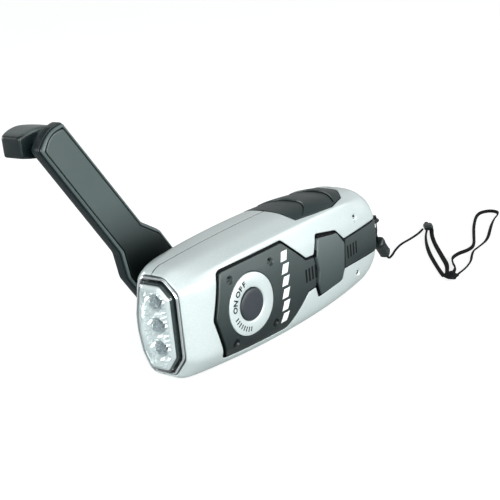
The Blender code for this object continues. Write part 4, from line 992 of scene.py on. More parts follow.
def boxed(x, z, half_x, half_z, slant=0.0):
    """A small rectangle, or a slanted one whose upper edge is shifted along."""
    corners = [(-half_x, -half_z), (half_x, -half_z), (half_x, half_z), (-half_x, half_z)]
    return [(x + u + slant * v, z + v) for u, v in corners]


for name, first, pitch in RIB_STARTS:
    for k in range(RIB_COUNT):
        corners = boxed(first + k * pitch, 0.0, 0.74, 3.3)
        dress(bar(f"{name}_{k + 1}", corners, 0.5, PANEL_PROUD + 0.1, 0.2), "casing", "black_plastic")

for k in range(BAR_COUNT):
    share = (k + 0.5) / BAR_COUNT
    corners = boxed(61.2 - 3.3 * share, 16.9 - 33.6 * share, 2.2, 2.2, 0.45)
    dress(bar(f"pale_bar_{k + 1}", corners, 0.25, PANEL_PROUD + 0.08, 0.1), "casing", "silver_paint")
print("plates and bars:", len(PIECES), "pieces so far")

# %% [markdown]
# ## Switch ring, button and screws
# These are all turned shapes: a profile of radius and height carried once round. The ring and the screws
# follow the curved body, so their profile is laid on the surface. The button is turned about its own axis.

# %% Ring
def on_body(profile, centre, around):
    """A profile of (radius, lift) pairs carried round a centre on the body's surface."""
    profile = np.array(profile, float)
    turn = once_round(around)
    x = centre[0] + profile[:, :1] * np.cos(turn)
    z = centre[1] + profile[:, :1] * np.sin(turn)
    return side(x, z, np.repeat(profile[:, 1:], around, axis=1))


ring_profile = [(RING_RADIUS_OUT, -1.0), (RING_RADIUS_OUT, 0.0), (13.99, 0.18), (13.85, 0.3), (13.6, 0.36)]
ring_profile += [(r, 0.36 + 0.22 * math.sin(math.pi * (13.6 - r) / 5.5)) for r in np.linspace(13.2, 8.3, 16)]
ring_profile += [(8.05, 0.34), (7.8, 0.25), (7.62, 0.1), (RING_HOLE, -0.1), (RING_HOLE, -1.0)]
ring_profile += [(RING_RADIUS_OUT, -1.0)]
switch_ring = solid("switch_ring", [closed(on_body(ring_profile, RING_AT, 120))])
dress(switch_ring, "casing", "silver_paint", "button_ring")


# %% Letters of the ring
RING_MIDDLE = 10.9
LETTER_SIZE = 3.2
LETTER_FOOT = 9.75
LETTER_STRETCH = 1.15
LETTER_LIFT = 0.52
TICK_COUNT = 8
TICK_START, TICK_STEP = 200.0, 8.6


def letters(text, start, step):
    """Each letter's outline filled and given a height, bent round the ring: across is angle, up is radius."""
    for k, letter in enumerate(text):
        curve = bpy.data.curves.new("letter", "FONT")
        curve.body = letter
        curve.size = LETTER_SIZE
        curve.extrude = 0.12
        curve.offset = 0.11
        curve.align_x = "CENTER"
        curve.resolution_u = 4
        holder = in_scene("letter", curve)
        mesh = holder.evaluated_get(bpy.context.evaluated_depsgraph_get()).to_mesh()
        points = np.array([vertex.co[:] for vertex in mesh.vertices])
        faces = [list(face.vertices) for face in mesh.polygons]
        bpy.data.objects.remove(holder)
        angle = math.radians(start - k * step) - points[:, 0] * LETTER_STRETCH / RING_MIDDLE
        radius = LETTER_FOOT + points[:, 1]
        x, z = RING_AT[0] + radius * np.cos(angle), RING_AT[1] + radius * np.sin(angle)
        letter_mesh = bpy.data.meshes.new(f"letter_{text}_{k + 1}")
        letter_mesh.from_pydata(in_frame(side(x, z, LETTER_LIFT + points[:, 2])).tolist(), [], faces)
        dress(in_scene(f"switch_letter_{text.lower()}_{k + 1}", letter_mesh), "casing", "black_plastic")


letters("ON", 176.0, 16.0)
letters("OFF", 139.0, 14.0)
for k in range(TICK_COUNT):
    angle = math.radians(TICK_START + TICK_STEP * k)
    outwards = np.array([math.cos(angle), math.sin(angle)])
    turn_tick = np.array([outwards, [-outwards[1], outwards[0]]])
    corners = np.array(boxed(0.0, 0.0, 1.15, 0.42)) @ turn_tick + RING_AT + RING_MIDDLE * outwards
    dress(bar(f"ring_tick_{k + 1}", corners.tolist(), 0.15, 0.66, -0.3), "casing", "black_plastic")

# %% Button and screws
BUTTON_AT = (36.2, -21.377, 0.0)
BUTTON_IN = np.array([0.06484, 0.9979, 0.0])


def lathe(profile, origin, axis, around=64):
    """A profile of (radius, distance along the axis) pairs carried round the axis."""
    axis = unit(np.array(axis, float))
    helper = np.array([0.0, 0.0, 1.0]) if abs(axis[2]) < 0.9 else np.array([1.0, 0.0, 0.0])
    across = unit(np.cross(helper, axis))
    up = np.cross(axis, across)
    turn = once_round(around)[None, :, None]
    profile = np.array(profile, float)
    radius, along = profile[:, 0][:, None, None], profile[:, 1][:, None, None]
    grid = np.array(origin) + along * axis + radius * (np.cos(turn) * across + np.sin(turn) * up)
    return closed(grid)


dome = [(6.3 * math.cos(a), -0.62 - 0.38 * math.sin(a)) for a in np.linspace(0.12, math.pi / 2, 16)]
button_profile = [(0.0, 4.2), (1.8, 4.2), (1.8, 3.6), (8.5, 3.6), (8.5, 2.8), (7.05, 2.8), (7.05, -0.15)]
button_profile += [(6.98, -0.38), (6.78, -0.54), (6.5, -0.6)] + dome
button = solid("push_button", [lathe(button_profile, BUTTON_AT, BUTTON_IN)])
dress(button, "button", "black_plastic", "power_button")


def cross_recess(x, z):
    """Two crossed slots with sloping sides."""
    slot_x = np.clip((0.28 - np.abs(z)) / 0.1, 0, 1) * np.clip((1.0 - np.abs(x)) / 0.15, 0, 1)
    slot_z = np.clip((0.28 - np.abs(x)) / 0.1, 0, 1) * np.clip((1.0 - np.abs(z)) / 0.15, 0, 1)
    return 0.45 * np.maximum(slot_x, slot_z)


HEAD_RADIUS = 1.35
HEAD_ROWS = 20


def screw(name, x, z, node):
    """A shallow domed head with a crossed slot, on a straight shank."""
    seat = side(np.array([x]), np.array([z]))[0]
    profile = [(r, 0.8 + 0.12 * (r / HEAD_RADIUS) ** 2) for r in np.linspace(0.0, HEAD_RADIUS, HEAD_ROWS)]
    profile += [(1.45, 1.05), (1.45, 1.9), (0.8, 1.9), (0.8, 11.9), (0.0, 11.9)]
    grid = lathe(profile, seat, (0.0, 1.0, 0.0), 56)
    head = grid[:HEAD_ROWS]
    head[..., 1] += cross_recess(head[..., 0] - x, head[..., 2] - z)
    return dress(solid(name, [grid], 30.0), "casing", "plated_steel", node)


for k, (x, z) in enumerate(DIMPLES):
    screw(f"cross_screw_{k + 1}", x, z, f"panel_screw_{k + 1}")
for k, z in enumerate((SHELL_DIMPLES[1], -SHELL_DIMPLES[1])):
    screw(f"tail_cross_screw_{k + 1}", SHELL_DIMPLES[0], z, f"shell_screw_{k + 1}")

# %% [markdown]
# ## The lens
# The clear cover stands forward of a chromed rim. Its side is a short straight wall over a dark sleeve, then
# a sloping facet over a bright frame, then a shallow dome over three LEDs in faceted cups. The octagon
# shrinks row by row, so each of these is a list of how far in and how far forward.

# %% Octagon rings
LENS_CORNERS = [(6.4, 21.2), (8.9, 15.8), (11.6, 4.0), (11.9, -3.0), (10.3, -13.2), (6.2, -21.6)]
LENS_CORNERS += [(-6.2, -21.6), (-12.8, -13.0), (-13.0, 15.0), (-6.2, 21.4)]
LENS_POINTS = 240
LENS_MIDDLE = np.array([-0.7, -0.2])


def lens_outline(inset):
    """The outline drawn in about its middle: the corners move square to their sides, then are rounded."""
    sides = np.array(LENS_CORNERS, float)
    ahead = unit(np.roll(sides, -1, axis=0) - sides)
    normal = np.stack([-ahead[:, 1], ahead[:, 0]], axis=1)
    normal = normal * np.sign(np.sum(normal * (sides - LENS_MIDDLE), axis=1, keepdims=True))
    before = np.roll(normal, 1, axis=0)
    mitre = (normal + before) / (1 + np.sum(normal * before, axis=1, keepdims=True))
    return matched(sides - mitre * inset, max(0.7, 1.9 - 0.3 * inset), LENS_POINTS)


def facing(loop, x):
    """An outline of (y, z) pairs set upright across the body at x."""
    return np.stack([np.broadcast_to(x, loop.shape[:-1]), loop[..., 0], loop[..., 1]], axis=-1)


def octagon(name, profile):
    """Rows of (inset, x); the last row meets the first again."""
    rows = [facing(lens_outline(inset), x) for inset, x in profile + profile[:1]]
    return solid(name, [closed(np.stack(rows))], 30.0)


rim_profile = [(0.0, 2.9), (0.0, -0.3), (0.1, -0.62), (0.35, -0.8), (0.7, -0.72), (0.95, -0.4), (1.2, 0.3)]
rim = octagon("lens_rim", rim_profile + [(1.3, 0.8), (1.3, 2.9)])
dress(rim, "casing", "chromed_plastic", "lens_bezel")
sleeve_profile = [(2.5, 2.9), (2.05, 2.9), (2.05, 0.4), (2.15, -1.0), (2.38, -2.2), (2.6, -2.25), (2.5, -1.0)]
sleeve = octagon("lens_sleeve", sleeve_profile)
dress(sleeve, "casing", "soft_rubber", "lens_gasket")
frame_profile = [(2.7, 3.1), (2.7, -2.2), (2.85, -2.6), (3.05, -2.75), (4.1, -3.3), (4.35, -3.3)]
inner_frame = octagon("lens_inner_frame", frame_profile + [(4.75, -2.3), (5.0, 3.1)])
dress(inner_frame, "casing", "chromed_plastic")

COVER_WALL = 0.35
cover_profile = [(1.6, 1.6), (1.6, 0.4), (1.68, -1.0), (1.9, -2.2), (2.15, -2.8), (2.5, -3.2), (3.1, -3.55)]
cover_profile += [(3.9, -3.9), (4.3, -4.05)]
DOME_RISE = 0.8
DOME_OVAL = (7.6, 16.6)


def cover_rows(gap):
    """The cover's rows: its wall and facet, then a shallow dome down to a single middle point."""
    rows = [facing(lens_outline(inset + gap * 0.7), x + gap) for inset, x in cover_profile]
    last = lens_outline(cover_profile[-1][0] + gap * 0.7) - LENS_MIDDLE
    oval = unit(last / DOME_OVAL) * DOME_OVAL
    for share in np.linspace(1.0, 0.0, 24)[1:]:
        row = (share * last + (1 - share) * oval) * share + LENS_MIDDLE
        rows.append(facing(row, cover_profile[-1][1] + gap - DOME_RISE * (1 - share**2)))
    return np.stack(rows)


cover_grid = np.concatenate([cover_rows(0.0)[::-1], cover_rows(COVER_WALL)])
cover = solid("clear_lens_cover", [closed(cover_grid)], 30.0)
dress(cover, "casing", "clear_lens", "lens_cover")

# %% LEDs in a faceted reflector
LED_FRONT = -3.3
LED_PITCH = 10.3
LED_RADIUS = 2.5
ball_angles = np.linspace(math.pi / 2, 0.0, 14)
LED_PROFILE = [(LED_RADIUS * math.cos(a), LED_RADIUS * (1 - math.sin(a))) for a in ball_angles]
LED_PROFILE += [(LED_RADIUS, 8.3), (2.85, 8.4), (2.85, 9.4), (0.0, 9.4)]
CHIP_PROFILE = [(0.0, 4.6), (0.9, 4.2), (1.25, 4.3), (0.95, 5.9), (0.0, 6.0)]
for k in (1, 2, 3):
    led_front = (LED_FRONT, 0.0, (2 - k) * LED_PITCH)
    led = solid(f"round_led_{k}", [lathe(LED_PROFILE, led_front, (1.0, 0.0, 0.0), 40)], 40.0)
    dress(led, "casing", "led_epoxy", f"led_{k}")
    chip = solid(f"led_chip_cup_{k}", [lathe(CHIP_PROFILE, led_front, (1.0, 0.0, 0.0), 24)], 30.0)
    dress(chip, "casing", "plated_steel")

PLATE_X = -1.9
PLATE_ROWS = 48
CUP_RADIUS = 4.9
CUP_INNER = 3.75
FACETS = 12
STEP_PITCH = 2.1
STEP_DEPTH = 1.5
STEPS_FROM = 2.9


def cup_depth(y, z):
    """Three cups of flat facets. The distance from a cup's middle, measured square to the nearest facet,
    gives its slope; a second ring of facets, turned by half a facet, is steeper."""
    depth = np.zeros(np.shape(y))
    step = 2 * math.pi / FACETS
    for middle in (-LED_PITCH, 0.0, LED_PITCH):
        away, turn = np.hypot(y, z - middle), np.arctan2(z - middle, y)
        outer = away * np.cos(np.mod(turn, step) - step / 2)
        inner = away * np.cos(np.mod(turn + step / 2, step) - step / 2)
        slope = np.clip((CUP_RADIUS - outer) * 0.9, 0.0, 1.1) + np.clip((CUP_INNER - inner) * 2.6, 0.0, 3.2)
        depth = np.maximum(depth, slope)
    return depth


def plate_steps(y, z):
    """Short slanting steps beside the cups, each a straight ramp that ends in a drop."""
    run = (z + 0.45 * y) / STEP_PITCH
    return STEP_DEPTH * (run - np.floor(run)) * np.clip((np.abs(y) - STEPS_FROM) / 0.4, 0.0, 1.0)


edge = lens_outline(4.3)
edge = even(np.vstack([edge, edge[:1]]), 0.22)[:-1]
spine_line = np.stack([np.full(len(edge), LENS_MIDDLE[0]), np.clip(edge[:, 1], -12.5, 12.5)], axis=1)
loops = np.stack(between(spine_line, edge, np.linspace(1.0, 0.0, PLATE_ROWS)))
from_edge = np.clip(np.arange(PLATE_ROWS) / 2.0, 0.0, 1.0)[:, None]
relief = cup_depth(loops[..., 0], loops[..., 1]) + plate_steps(loops[..., 0], loops[..., 1])
plate_x = PLATE_X + from_edge * relief
under = np.stack(between(spine_line, edge, (0.0, 0.5, 1.0)))
plate_grid = np.concatenate([facing(under, 3.0), facing(loops, plate_x)])
reflector_plate = solid("faceted_reflector_plate", [closed(plate_grid)], 12.0)
dress(reflector_plate, "casing", "chromed_plastic")
print("lens pieces done,", len(PIECES), "so far")

# %% [markdown]
# ## Grip pad
# The pad's surface steps up at two curved lines and falls slowly behind each, like scales. Its rows follow
# those steps: four curves run across the pad, the rows between two of them blend from one to the next, and
# heights go with the share of the way.

# %% Grip pad
GRIP_PROUD = 0.15
GRIP_LEVELS = [(0.0, -0.3), (0.6, -0.35), (0.65, 0.0)]
GRIP_IN = 0.25
# The rounding at a step's foot and head: how far down, over the share of the way from one curve to the next.
CLIMB_AT = [0.0, 0.004, 0.012, 0.05, 0.955, 0.98, 1.0]
CLIMB = [-0.85, -0.4, -0.08, 0.0, 0.0, -0.55, -0.85]
grip_sides = np.array([(76.6, 16.0), *GRIP_HALF[2:]])


def grip_half_width(x):
    return np.interp(x, grip_sides[:, 0], grip_sides[:, 1]) - GRIP_IN


def grip_front(y):
    return np.interp(np.abs(y), [0.0, 8.0, 16.2], [77.6, 76.8, 78.8]) + GRIP_IN


def first_step(y):
    return 97.5 - 0.0038 * np.abs(y) ** 2.95


def second_step(y):
    return 119.0 - 0.03 * y**2


def grip_rear(y):
    return np.full(np.shape(y), GRIP_HALF[-1][0] - GRIP_IN)


def end_width(curve, guess):
    """Where a curve across the pad meets the pad's side, found by repeating the two against each other."""
    width = guess
    for _ in range(30):
        width = 0.5 * width + 0.5 * float(grip_half_width(curve(np.array(width))))
    return width


curves = [grip_front, first_step, second_step, grip_rear]
widths = [end_width(curve, guess) for curve, guess in zip(curves, (15.9, 16.5, 15.5, 5.3))]
near_side = np.array([0.82, 0.84, 0.86, 0.91, 0.965, 0.985, 0.995, 1.0])
across = np.concatenate([-near_side[::-1], np.linspace(-0.79, 0.79, 54), near_side])
shares = np.concatenate([[0.0, 0.004, 0.012, 0.025], np.linspace(0.05, 0.955, 24), [0.98, 0.995, 1.0]])
side_rim = np.interp(1 - np.abs(across), [0.0, 0.005, 0.015, 0.035], [0.5, 0.25, 0.08, 0.0])
border = np.interp(np.abs(across), [0.82, 0.84], [0.0, 0.22])
rows_x, rows_y, rows_lift = [], [], []
for k, (high, low) in enumerate(GRIP_LEVELS):
    near, far = curves[k](across * widths[k]), curves[k + 1](across * widths[k + 1])
    for share in shares:
        x = near + (far - near) * share
        at_step = (k > 0 and share < 0.5) or (k < 2 and share > 0.5)
        step_dip = np.interp(share, CLIMB_AT, CLIMB) if at_step else 0.0
        rise = (high + (low - high) * share + step_dip) * (1 - np.abs(across) ** 3.5) - border
        start_rim = np.interp(share, [0.0, 0.004, 0.012, 0.025], [0.5, 0.25, 0.08, 0.0]) if k == 0 else 0.0
        end_rim = np.interp(share, [0.97, 0.985, 0.996, 1.0], [0.0, 0.08, 0.25, 0.5]) if k == 2 else 0.0
        rows_x.append(x)
        rows_y.append(across * float(grip_half_width(x[0])))
        rows_lift.append(GRIP_PROUD + rise - np.maximum(side_rim, start_rim + end_rim))
rows_x, rows_y, rows_lift = np.stack(rows_x), np.stack(rows_y), np.stack(rows_lift)
# Two rows meet at each step: the second stands back a little, so that they aren't welded.
for step in (1, 2):
    rows_x[step * len(shares)] += 0.05
pad = walled("rubber_grip_pad", [top(rows_x, rows_y, rows_lift)], [top(rows_x, rows_y, -1.35)])
dress(pad, "casing", "soft_rubber", "grip_insert")


GROOVE_HALF_WIDTH = 0.62
GROOVE_HALF_HEIGHT = 0.32
GROOVE_END = -10.5


def groove(name, curve, start):
    """A dark strip of painted shade at the foot of a step: it narrows to nothing at both ends."""
    y = np.linspace(start, GROOVE_END, 90)
    size = np.maximum(1 - np.linspace(-1.0, 1.0, 90) ** 4, 0.02 / GROOVE_HALF_WIDTH)
    grid = swept(top(curve(y), y, -0.3), GROOVE_HALF_WIDTH * size, GROOVE_HALF_HEIGHT * size, 16)
    dress(solid(name, [grid]), "casing", "soft_rubber")


groove("grip_groove_1", first_step, 15.0)
groove("grip_groove_2", second_step, 13.0)
print("grip widths", np.round(widths, 2))

# %% [markdown]
# ## Crank and knob
# The arm is a flat bar with a round hub and a waist behind it. Its rows step in from the outline over a
# rounded edge on one face and over a narrow lip on the other, where a cover plate is let in. Its own
# plane is turned about the shaft, so a point at a reach and an offset turns with two lines of sums.

# %% Arm
CRANK_ANGLE = math.radians(124.15)
CRANK_X = 36.0
ARM_REACH = 101.3
ARM_BULGE = 2.2
ARM_ROWS = 22
ARM_POINTS = 480
HUB_RADIUS = 14.1
PIN_REACH = 97.5


def arm_at(loop, y):
    """Reach along the arm and offset across it, turned about the shaft, at a depth y."""
    c, s = math.cos(CRANK_ANGLE), math.sin(CRANK_ANGLE)
    u, v = loop[..., 0], loop[..., 1]
    return np.stack([CRANK_X + u * c - v * s, np.broadcast_to(y, u.shape), u * s + v * c], axis=-1)


def arm_outline(inset):
    """Hub half circle, flare, shoulder, straight sides and a bulging tip, all drawn in by the inset."""
    sweep = np.linspace(0.0, math.pi, 31)
    hub, wide, tip = HUB_RADIUS - inset, 9.0 - inset, 8.3 - inset
    flare, shoulder, end = 26.5 - 0.3 * inset, 38.0 - 0.3 * inset, ARM_REACH - inset
    corners = list(zip(-hub * np.sin(sweep), -hub * np.cos(sweep)))
    corners += [(flare, hub), (shoulder, wide), (end, tip)]
    for v in (-0.66, -0.33, 0.0, 0.33, 0.66):
        corners.append((end + ARM_BULGE * math.cos(math.pi * v / 2), -tip * v))
    corners += [(end, -tip), (shoulder, -wide), (flare, -hub)]
    return matched(corners, max(0.6, 1.4 - 0.5 * inset), ARM_POINTS)


def arm_piece(name, profile, low_fill, high_fill):
    """Rows of (inset, depth) between two faces that are filled towards the arm's middle line."""
    def fill(inset, y):
        loop = arm_outline(inset)
        middle = np.stack([np.clip(loop[:, 0], 0.0, 94.0), np.zeros(len(loop))], axis=1)
        return [arm_at(row, y) for row in between(middle, loop, np.linspace(0.0, 1.0, ARM_ROWS)[:-1])]
    edge = [arm_at(arm_outline(inset), y) for inset, y in profile]
    grid = np.stack(fill(*low_fill) + edge + fill(*high_fill)[::-1])
    return solid(name, [closed(grid)], 32.0)


arm_profile = [(1.5, 25.3), (1.5, 24.3), (1.42, 24.08), (1.3, 24.02), (1.15, 24.1), (0.4, 24.75)]
arm_profile += [(0.26, 25.1), (0.5, 25.35), (0.5, 25.7), (0.12, 25.8), (0.0, 26.0), (0.0, 29.6)]
arm_profile += [(0.07, 29.96), (0.27, 30.23), (0.55, 30.42), (0.9, 30.5)]
arm = arm_piece("crank_arm_bar", arm_profile, arm_profile[0], arm_profile[-1])
dress(arm, "crank", "black_plastic", "crank_arm")
plate_profile = [(2.05, 25.2), (2.05, 24.3), (2.11, 24.12), (2.25, 24.03), (2.45, 24.0)]
plate = arm_piece("arm_cover_plate", plate_profile, plate_profile[0], plate_profile[-1])
dress(plate, "crank", "graphite", "crank_arm_cover")
HUB_SLOT_SCALE = 1.6
HUB_SLOT_DEPTH = 1.3
HUB_HEAD_ROWS = 16
hub_profile = [(0.0, 28.6), (1.5, 28.6), (1.5, 29.6), (3.0, 29.6), (3.0, 30.5), (2.8, 30.85), (2.2, 31.1)]
hub_profile += [(r, 31.1 + 0.12 * (1 - r / 2.2)) for r in np.linspace(2.0, 0.0, HUB_HEAD_ROWS)]
hub_grid = lathe(hub_profile, (CRANK_X, 0.0, 0.0), (0.0, 1.0, 0.0), 64)
head = hub_grid[-HUB_HEAD_ROWS:]
slot = cross_recess((head[..., 0] - CRANK_X) / HUB_SLOT_SCALE, head[..., 2] / HUB_SLOT_SCALE)
head[..., 1] -= HUB_SLOT_DEPTH * slot
hub = solid("hub_cross_screw", [hub_grid], 30.0)
dress(hub, "crank", "plated_steel", "hub_screw")

# %% Knob
KNOB_LONG = 11.4
KNOB_ROUND = 0.9
KNOB_SQUARENESS = 0.2
KNOB_AROUND = 112
end_rows = KNOB_LONG - KNOB_ROUND * (1 - np.cos(np.linspace(0.0, math.pi / 2, 8)))
along = np.concatenate([end_rows, np.linspace(10.2, -10.2, 60), -end_rows[::-1]])
share = np.abs(along) / KNOB_LONG
near_end = np.maximum(0.0, KNOB_ROUND - (KNOB_LONG - np.abs(along)))
inset = KNOB_ROUND - np.sqrt(np.maximum(0.0, KNOB_ROUND**2 - near_end**2))
# Its half height and its outer face both swell towards the middle.
half_z = 4.3 + 2.0 * (1 - share**1.6) - inset
outer_y = 44.2 + 4.3 * (1 - share**2) - inset
inner_y = 33.0 + inset
turn = once_round(KNOB_AROUND)[None, :]
wave, height = (np.sign(w) * np.abs(w) ** KNOB_SQUARENESS for w in (np.cos(turn), np.sin(turn)))
knob_y = (outer_y + inner_y)[:, None] / 2 + (outer_y - inner_y)[:, None] / 2 * wave
knob_z = half_z[:, None] * height
pin_at = arm_at(np.array([PIN_REACH, 0.0]), 0.0)
body_x = np.repeat(pin_at[0] + along[:, None], KNOB_AROUND, axis=1)
body = np.stack([body_x, knob_y, pin_at[2] + knob_z], axis=-1)
body = capped(np.stack([body[0].mean(axis=0), body[-1].mean(axis=0)]), body)
neck_profile = [(0.0, 31.0), (4.6, 31.0), (5.0, 31.3), (5.0, 33.6), (0.0, 33.6)]
neck = lathe(neck_profile, (pin_at[0], 0.0, pin_at[2]), (0.0, 1.0, 0.0))
knob = solid("winding_knob", [facing_out(body), facing_out(neck)], 35.0)
dress(knob, "knob", "black_plastic", "crank_knob")
print("all pieces:", len(PIECES))

# %% [markdown]
# ## Finishes
# Every finish is worked out from object coordinates in millimetres. Colours are written as sRGB and turned
# to linear light once. A small helper adds a node, sets it and links its inputs.

# %% Material helpers
RGBA = {"data_type": "RGBA"}
SMOOTH = {"interpolation_type": "SMOOTHSTEP"}
# Nearly all of a noise texture's values lie in this range.
NOISE_RANGE = {"From_Min": 0.3, "From_Max": 0.7}
MM = 0.001


def linear(code):
    """The sRGB curve undone: a straight part for the darkest tones and a power for the rest."""
    value = np.array([int(code[k : k + 2], 16) for k in (1, 3, 5)]) / 255
    return [*np.where(value <= 0.04045, value / 12.92, ((value + 0.055) / 1.055) ** 2.4).tolist(), 1.0]


def add(tree, kind, settings=None, **inputs):
    """A node with its settings and its inputs: a socket is linked, a node is linked by its first output in
    use, and anything else is a value."""
    node = tree.nodes.new(kind)
    for name, value in (settings or {}).items():
        setattr(node, name, value)
    for name, value in inputs.items():
        key = int(name[1:]) if name[0] == "i" and name[1:].isdigit() else name.replace("_", " ")
        if isinstance(value, bpy.types.Node):
            value = next(socket for socket in value.outputs if socket.enabled)
        if isinstance(value, bpy.types.NodeSocket):
            tree.links.new(value, node.inputs[key])
        else:
            node.inputs[key].default_value = value
    return node


def new_material(name):
    """A material and its empty tree."""
    made = bpy.data.materials.new(name)
    made.use_nodes = True
    made.node_tree.nodes.clear()
    return made, made.node_tree


def millimetres(tree):
    """The place on the object in millimetres."""
    place = add(tree, "ShaderNodeTexCoord").outputs["Object"]
    return add(tree, "ShaderNodeVectorMath", {"operation": "SCALE"}, Vector=place, Scale=1000.0)


def moulded(name, low, high, rough, grain, coat=0.0, metallic=0.0, specular=0.5, painted_light=None):
    """Mottled colour, grain as a bump and a gloss that wanders: a moulded or painted plastic. The grain has a
    scale and a depth in millimetres. A painted light names an axis, a place on it that has another tone, a
    place past which the full colour shows, and that tone: light or shade painted into the colour along that
    axis."""
    made, tree = new_material(name)
    at = millimetres(tree)
    mottle = add(tree, "ShaderNodeTexNoise", Vector=at, Scale=0.06, Detail=3.0)
    colour = add(tree, "ShaderNodeMix", RGBA, Factor=mottle, i6=linear(low), i7=linear(high))
    # Painted light: another tone laid over the colour along one axis, standing in for light or shade.
    if painted_light is not None:
        axis, start, end, tone = painted_light
        place = add(tree, "ShaderNodeSeparateXYZ", Vector=at).outputs[axis]
        share = add(tree, "ShaderNodeMapRange", SMOOTH, Value=place, From_Min=start, From_Max=end)
        colour = add(tree, "ShaderNodeMix", RGBA, Factor=share, i6=linear(tone), i7=colour)
    wander = add(tree, "ShaderNodeTexNoise", Vector=at, Scale=0.11, Detail=4.0)
    gloss = add(tree, "ShaderNodeMapRange", Value=wander, To_Min=rough[0], To_Max=rough[1], **NOISE_RANGE)
    grains = add(tree, "ShaderNodeTexNoise", Vector=at, Scale=grain[0], Detail=2.0)
    bumped = add(tree, "ShaderNodeBump", Height=grains, Distance=grain[1] * MM, Strength=1.0)
    shader = add(tree, "ShaderNodeBsdfPrincipled", Base_Color=colour, Roughness=gloss, Metallic=metallic,
                 Normal=bumped, Coat_Weight=coat, Coat_Roughness=0.12, Specular_IOR_Level=specular)
    add(tree, "ShaderNodeOutputMaterial", Surface=shader)
    return made


# %% Finishes
# Silver lacquer on plastic: a pale base with faint flakes, under a thin clear coat.
silver_lacquer, tree = new_material("silver_lacquer_on_plastic")
at = millimetres(tree)
flakes = add(tree, "ShaderNodeTexVoronoi", Vector=at, Scale=2.6).outputs["Color"]
tone = add(tree, "ShaderNodeMix", RGBA, Factor=flakes, i6=linear("#d0dddc"), i7=linear("#dbe6e5"))
wander = add(tree, "ShaderNodeTexNoise", Vector=at, Scale=0.09, Detail=4.0)
gloss = add(tree, "ShaderNodeMapRange", Value=wander, To_Min=0.3, To_Max=0.36, **NOISE_RANGE)
ripples = add(tree, "ShaderNodeTexNoise", Vector=at, Scale=0.7, Detail=2.0)
peel = add(tree, "ShaderNodeBump", Height=ripples, Distance=0.006 * MM, Strength=1.0)
shader = add(tree, "ShaderNodeBsdfPrincipled", Base_Color=tone, Roughness=gloss, Metallic=0.35, Normal=peel,
             Coat_Weight=0.4, Coat_Roughness=0.1)
add(tree, "ShaderNodeOutputMaterial", Surface=shader)

# Graphite plastic: fine spark-eroded grain that breaks the reflection into a soft sheen.
# Its colour has painted shade: lighter at the upper edge and darker at the lower one, heights in millimetres
# above the table.
SPARK_GRAIN = (3.2, 0.018)
graphite_painted_shade = moulded("grained_graphite_abs", "#424d4c", "#4a5554", (0.28, 0.34), SPARK_GRAIN,
                       painted_light=("Z", 2.0, 54.0, "#0c1718"))
# The bridge is the same graphite painted paler, a painted highlight for the light it catches standing proud
# of the panels, with painted shade towards its lower edge.
bridge_painted_lit_and_shade = moulded("graphite_bridge_painted_lit_and_shade", "#5a6665", "#626e6d", (0.28, 0.34), SPARK_GRAIN,
                     painted_light=("Z", 4.0, 50.0, "#1c2829"))
# The arm's cover plate is the same plastic, with painted shade that makes it darkest at the hub, next to the
# body.
plate_painted_shade = moulded("arm_plate_graphite_painted_shade", "#475352", "#4f5b5a", (0.3, 0.36), SPARK_GRAIN, specular=0.35,
                    painted_light=("Z", 48.0, 82.0, "#020909"))
# The arm's bar is dark, and its lip on the body's side is painted paler: a painted highlight that reads as a
# light line.
bar_painted_highlight = moulded("arm_bar_graphite_painted_highlight", "#151f21", "#1b2628", (0.26, 0.32), (2.6, 0.01),
                  painted_light=("Y", 24.5, 24.8, "#4f5c5b"))
# The knob: dark sides under a paler top, painted light and shade for a lit top and shaded sides.
knob_top_painted_light = moulded("dark_knob_abs", "#45514f", "#4c5857", (0.24, 0.3), (2.0, 0.008),
                   painted_light=("Z", 112.3, 113.4, "#121d1e"))
# Matt black that throws nothing back: painted shade in the grip's grooves, the gaps round the plates and the
# bridge, and the parting gap. The ribs take the same black.
painted_shade_black = moulded("matt_black_painted_shade", "#06080a", "#0b0e10", (0.6, 0.7), (2.0, 0.01), specular=0.15)
# Dark crank plastic: smoother and glossier than the panel.
black_abs = moulded("dark_polished_abs", "#131d1e", "#182425", (0.24, 0.32), (2.0, 0.008))
# Rubber: matt, with a coarse stipple.
soft_rubber = moulded("stippled_rubber", "#1a2828", "#213030", (0.33, 0.4), (1.6, 0.03))
# The button is a paler slate than the other dark plastic, with a soft matt face.
slate_button = moulded("matt_slate_button", "#2d3338", "#343a40", (0.36, 0.44), (1.8, 0.012))
# Printed white of the bars: flat and a little glossy.
white_print = moulded("white_screen_print", "#f2f4f4", "#fafbfb", (0.3, 0.4), (2.0, 0.004))
# White gear plastic, ferrite and the cell's sleeve inside.
acetal = moulded("white_acetal", "#dddcd2", "#e6e5dc", (0.42, 0.5), (1.2, 0.01))
ferrite = moulded("sintered_ferrite", "#26262a", "#34343a", (0.5, 0.62), (4.0, 0.02))
cell_sleeve = moulded("green_shrink_sleeve", "#1d6b3c", "#237a46", (0.26, 0.34), (0.5, 0.02), coat=0.3)
# Metals: full metals but for the two thin layers over plastic and the screws' black finish.
copper = moulded("enamelled_copper_wire", "#8a4a24", "#a55c30", (0.22, 0.3), (2.2, 0.05), metallic=1.0)
brass = moulded("turned_brass", "#b08d43", "#c2a056", (0.22, 0.32), (1.4, 0.01), metallic=1.0)
plated_steel = moulded("nickel_plated_steel", "#8c9092", "#a3a7a9", (0.16, 0.26), (1.1, 0.008), metallic=1.0)
dark_wire = moulded("blackened_steel_wire", "#34383a", "#444a4c", (0.24, 0.34), (1.6, 0.01), metallic=1.0)
chrome = moulded("vacuum_chromed_plastic", "#e9edef", "#f4f6f7", (0.08, 0.14), (0.5, 0.01), metallic=0.92)
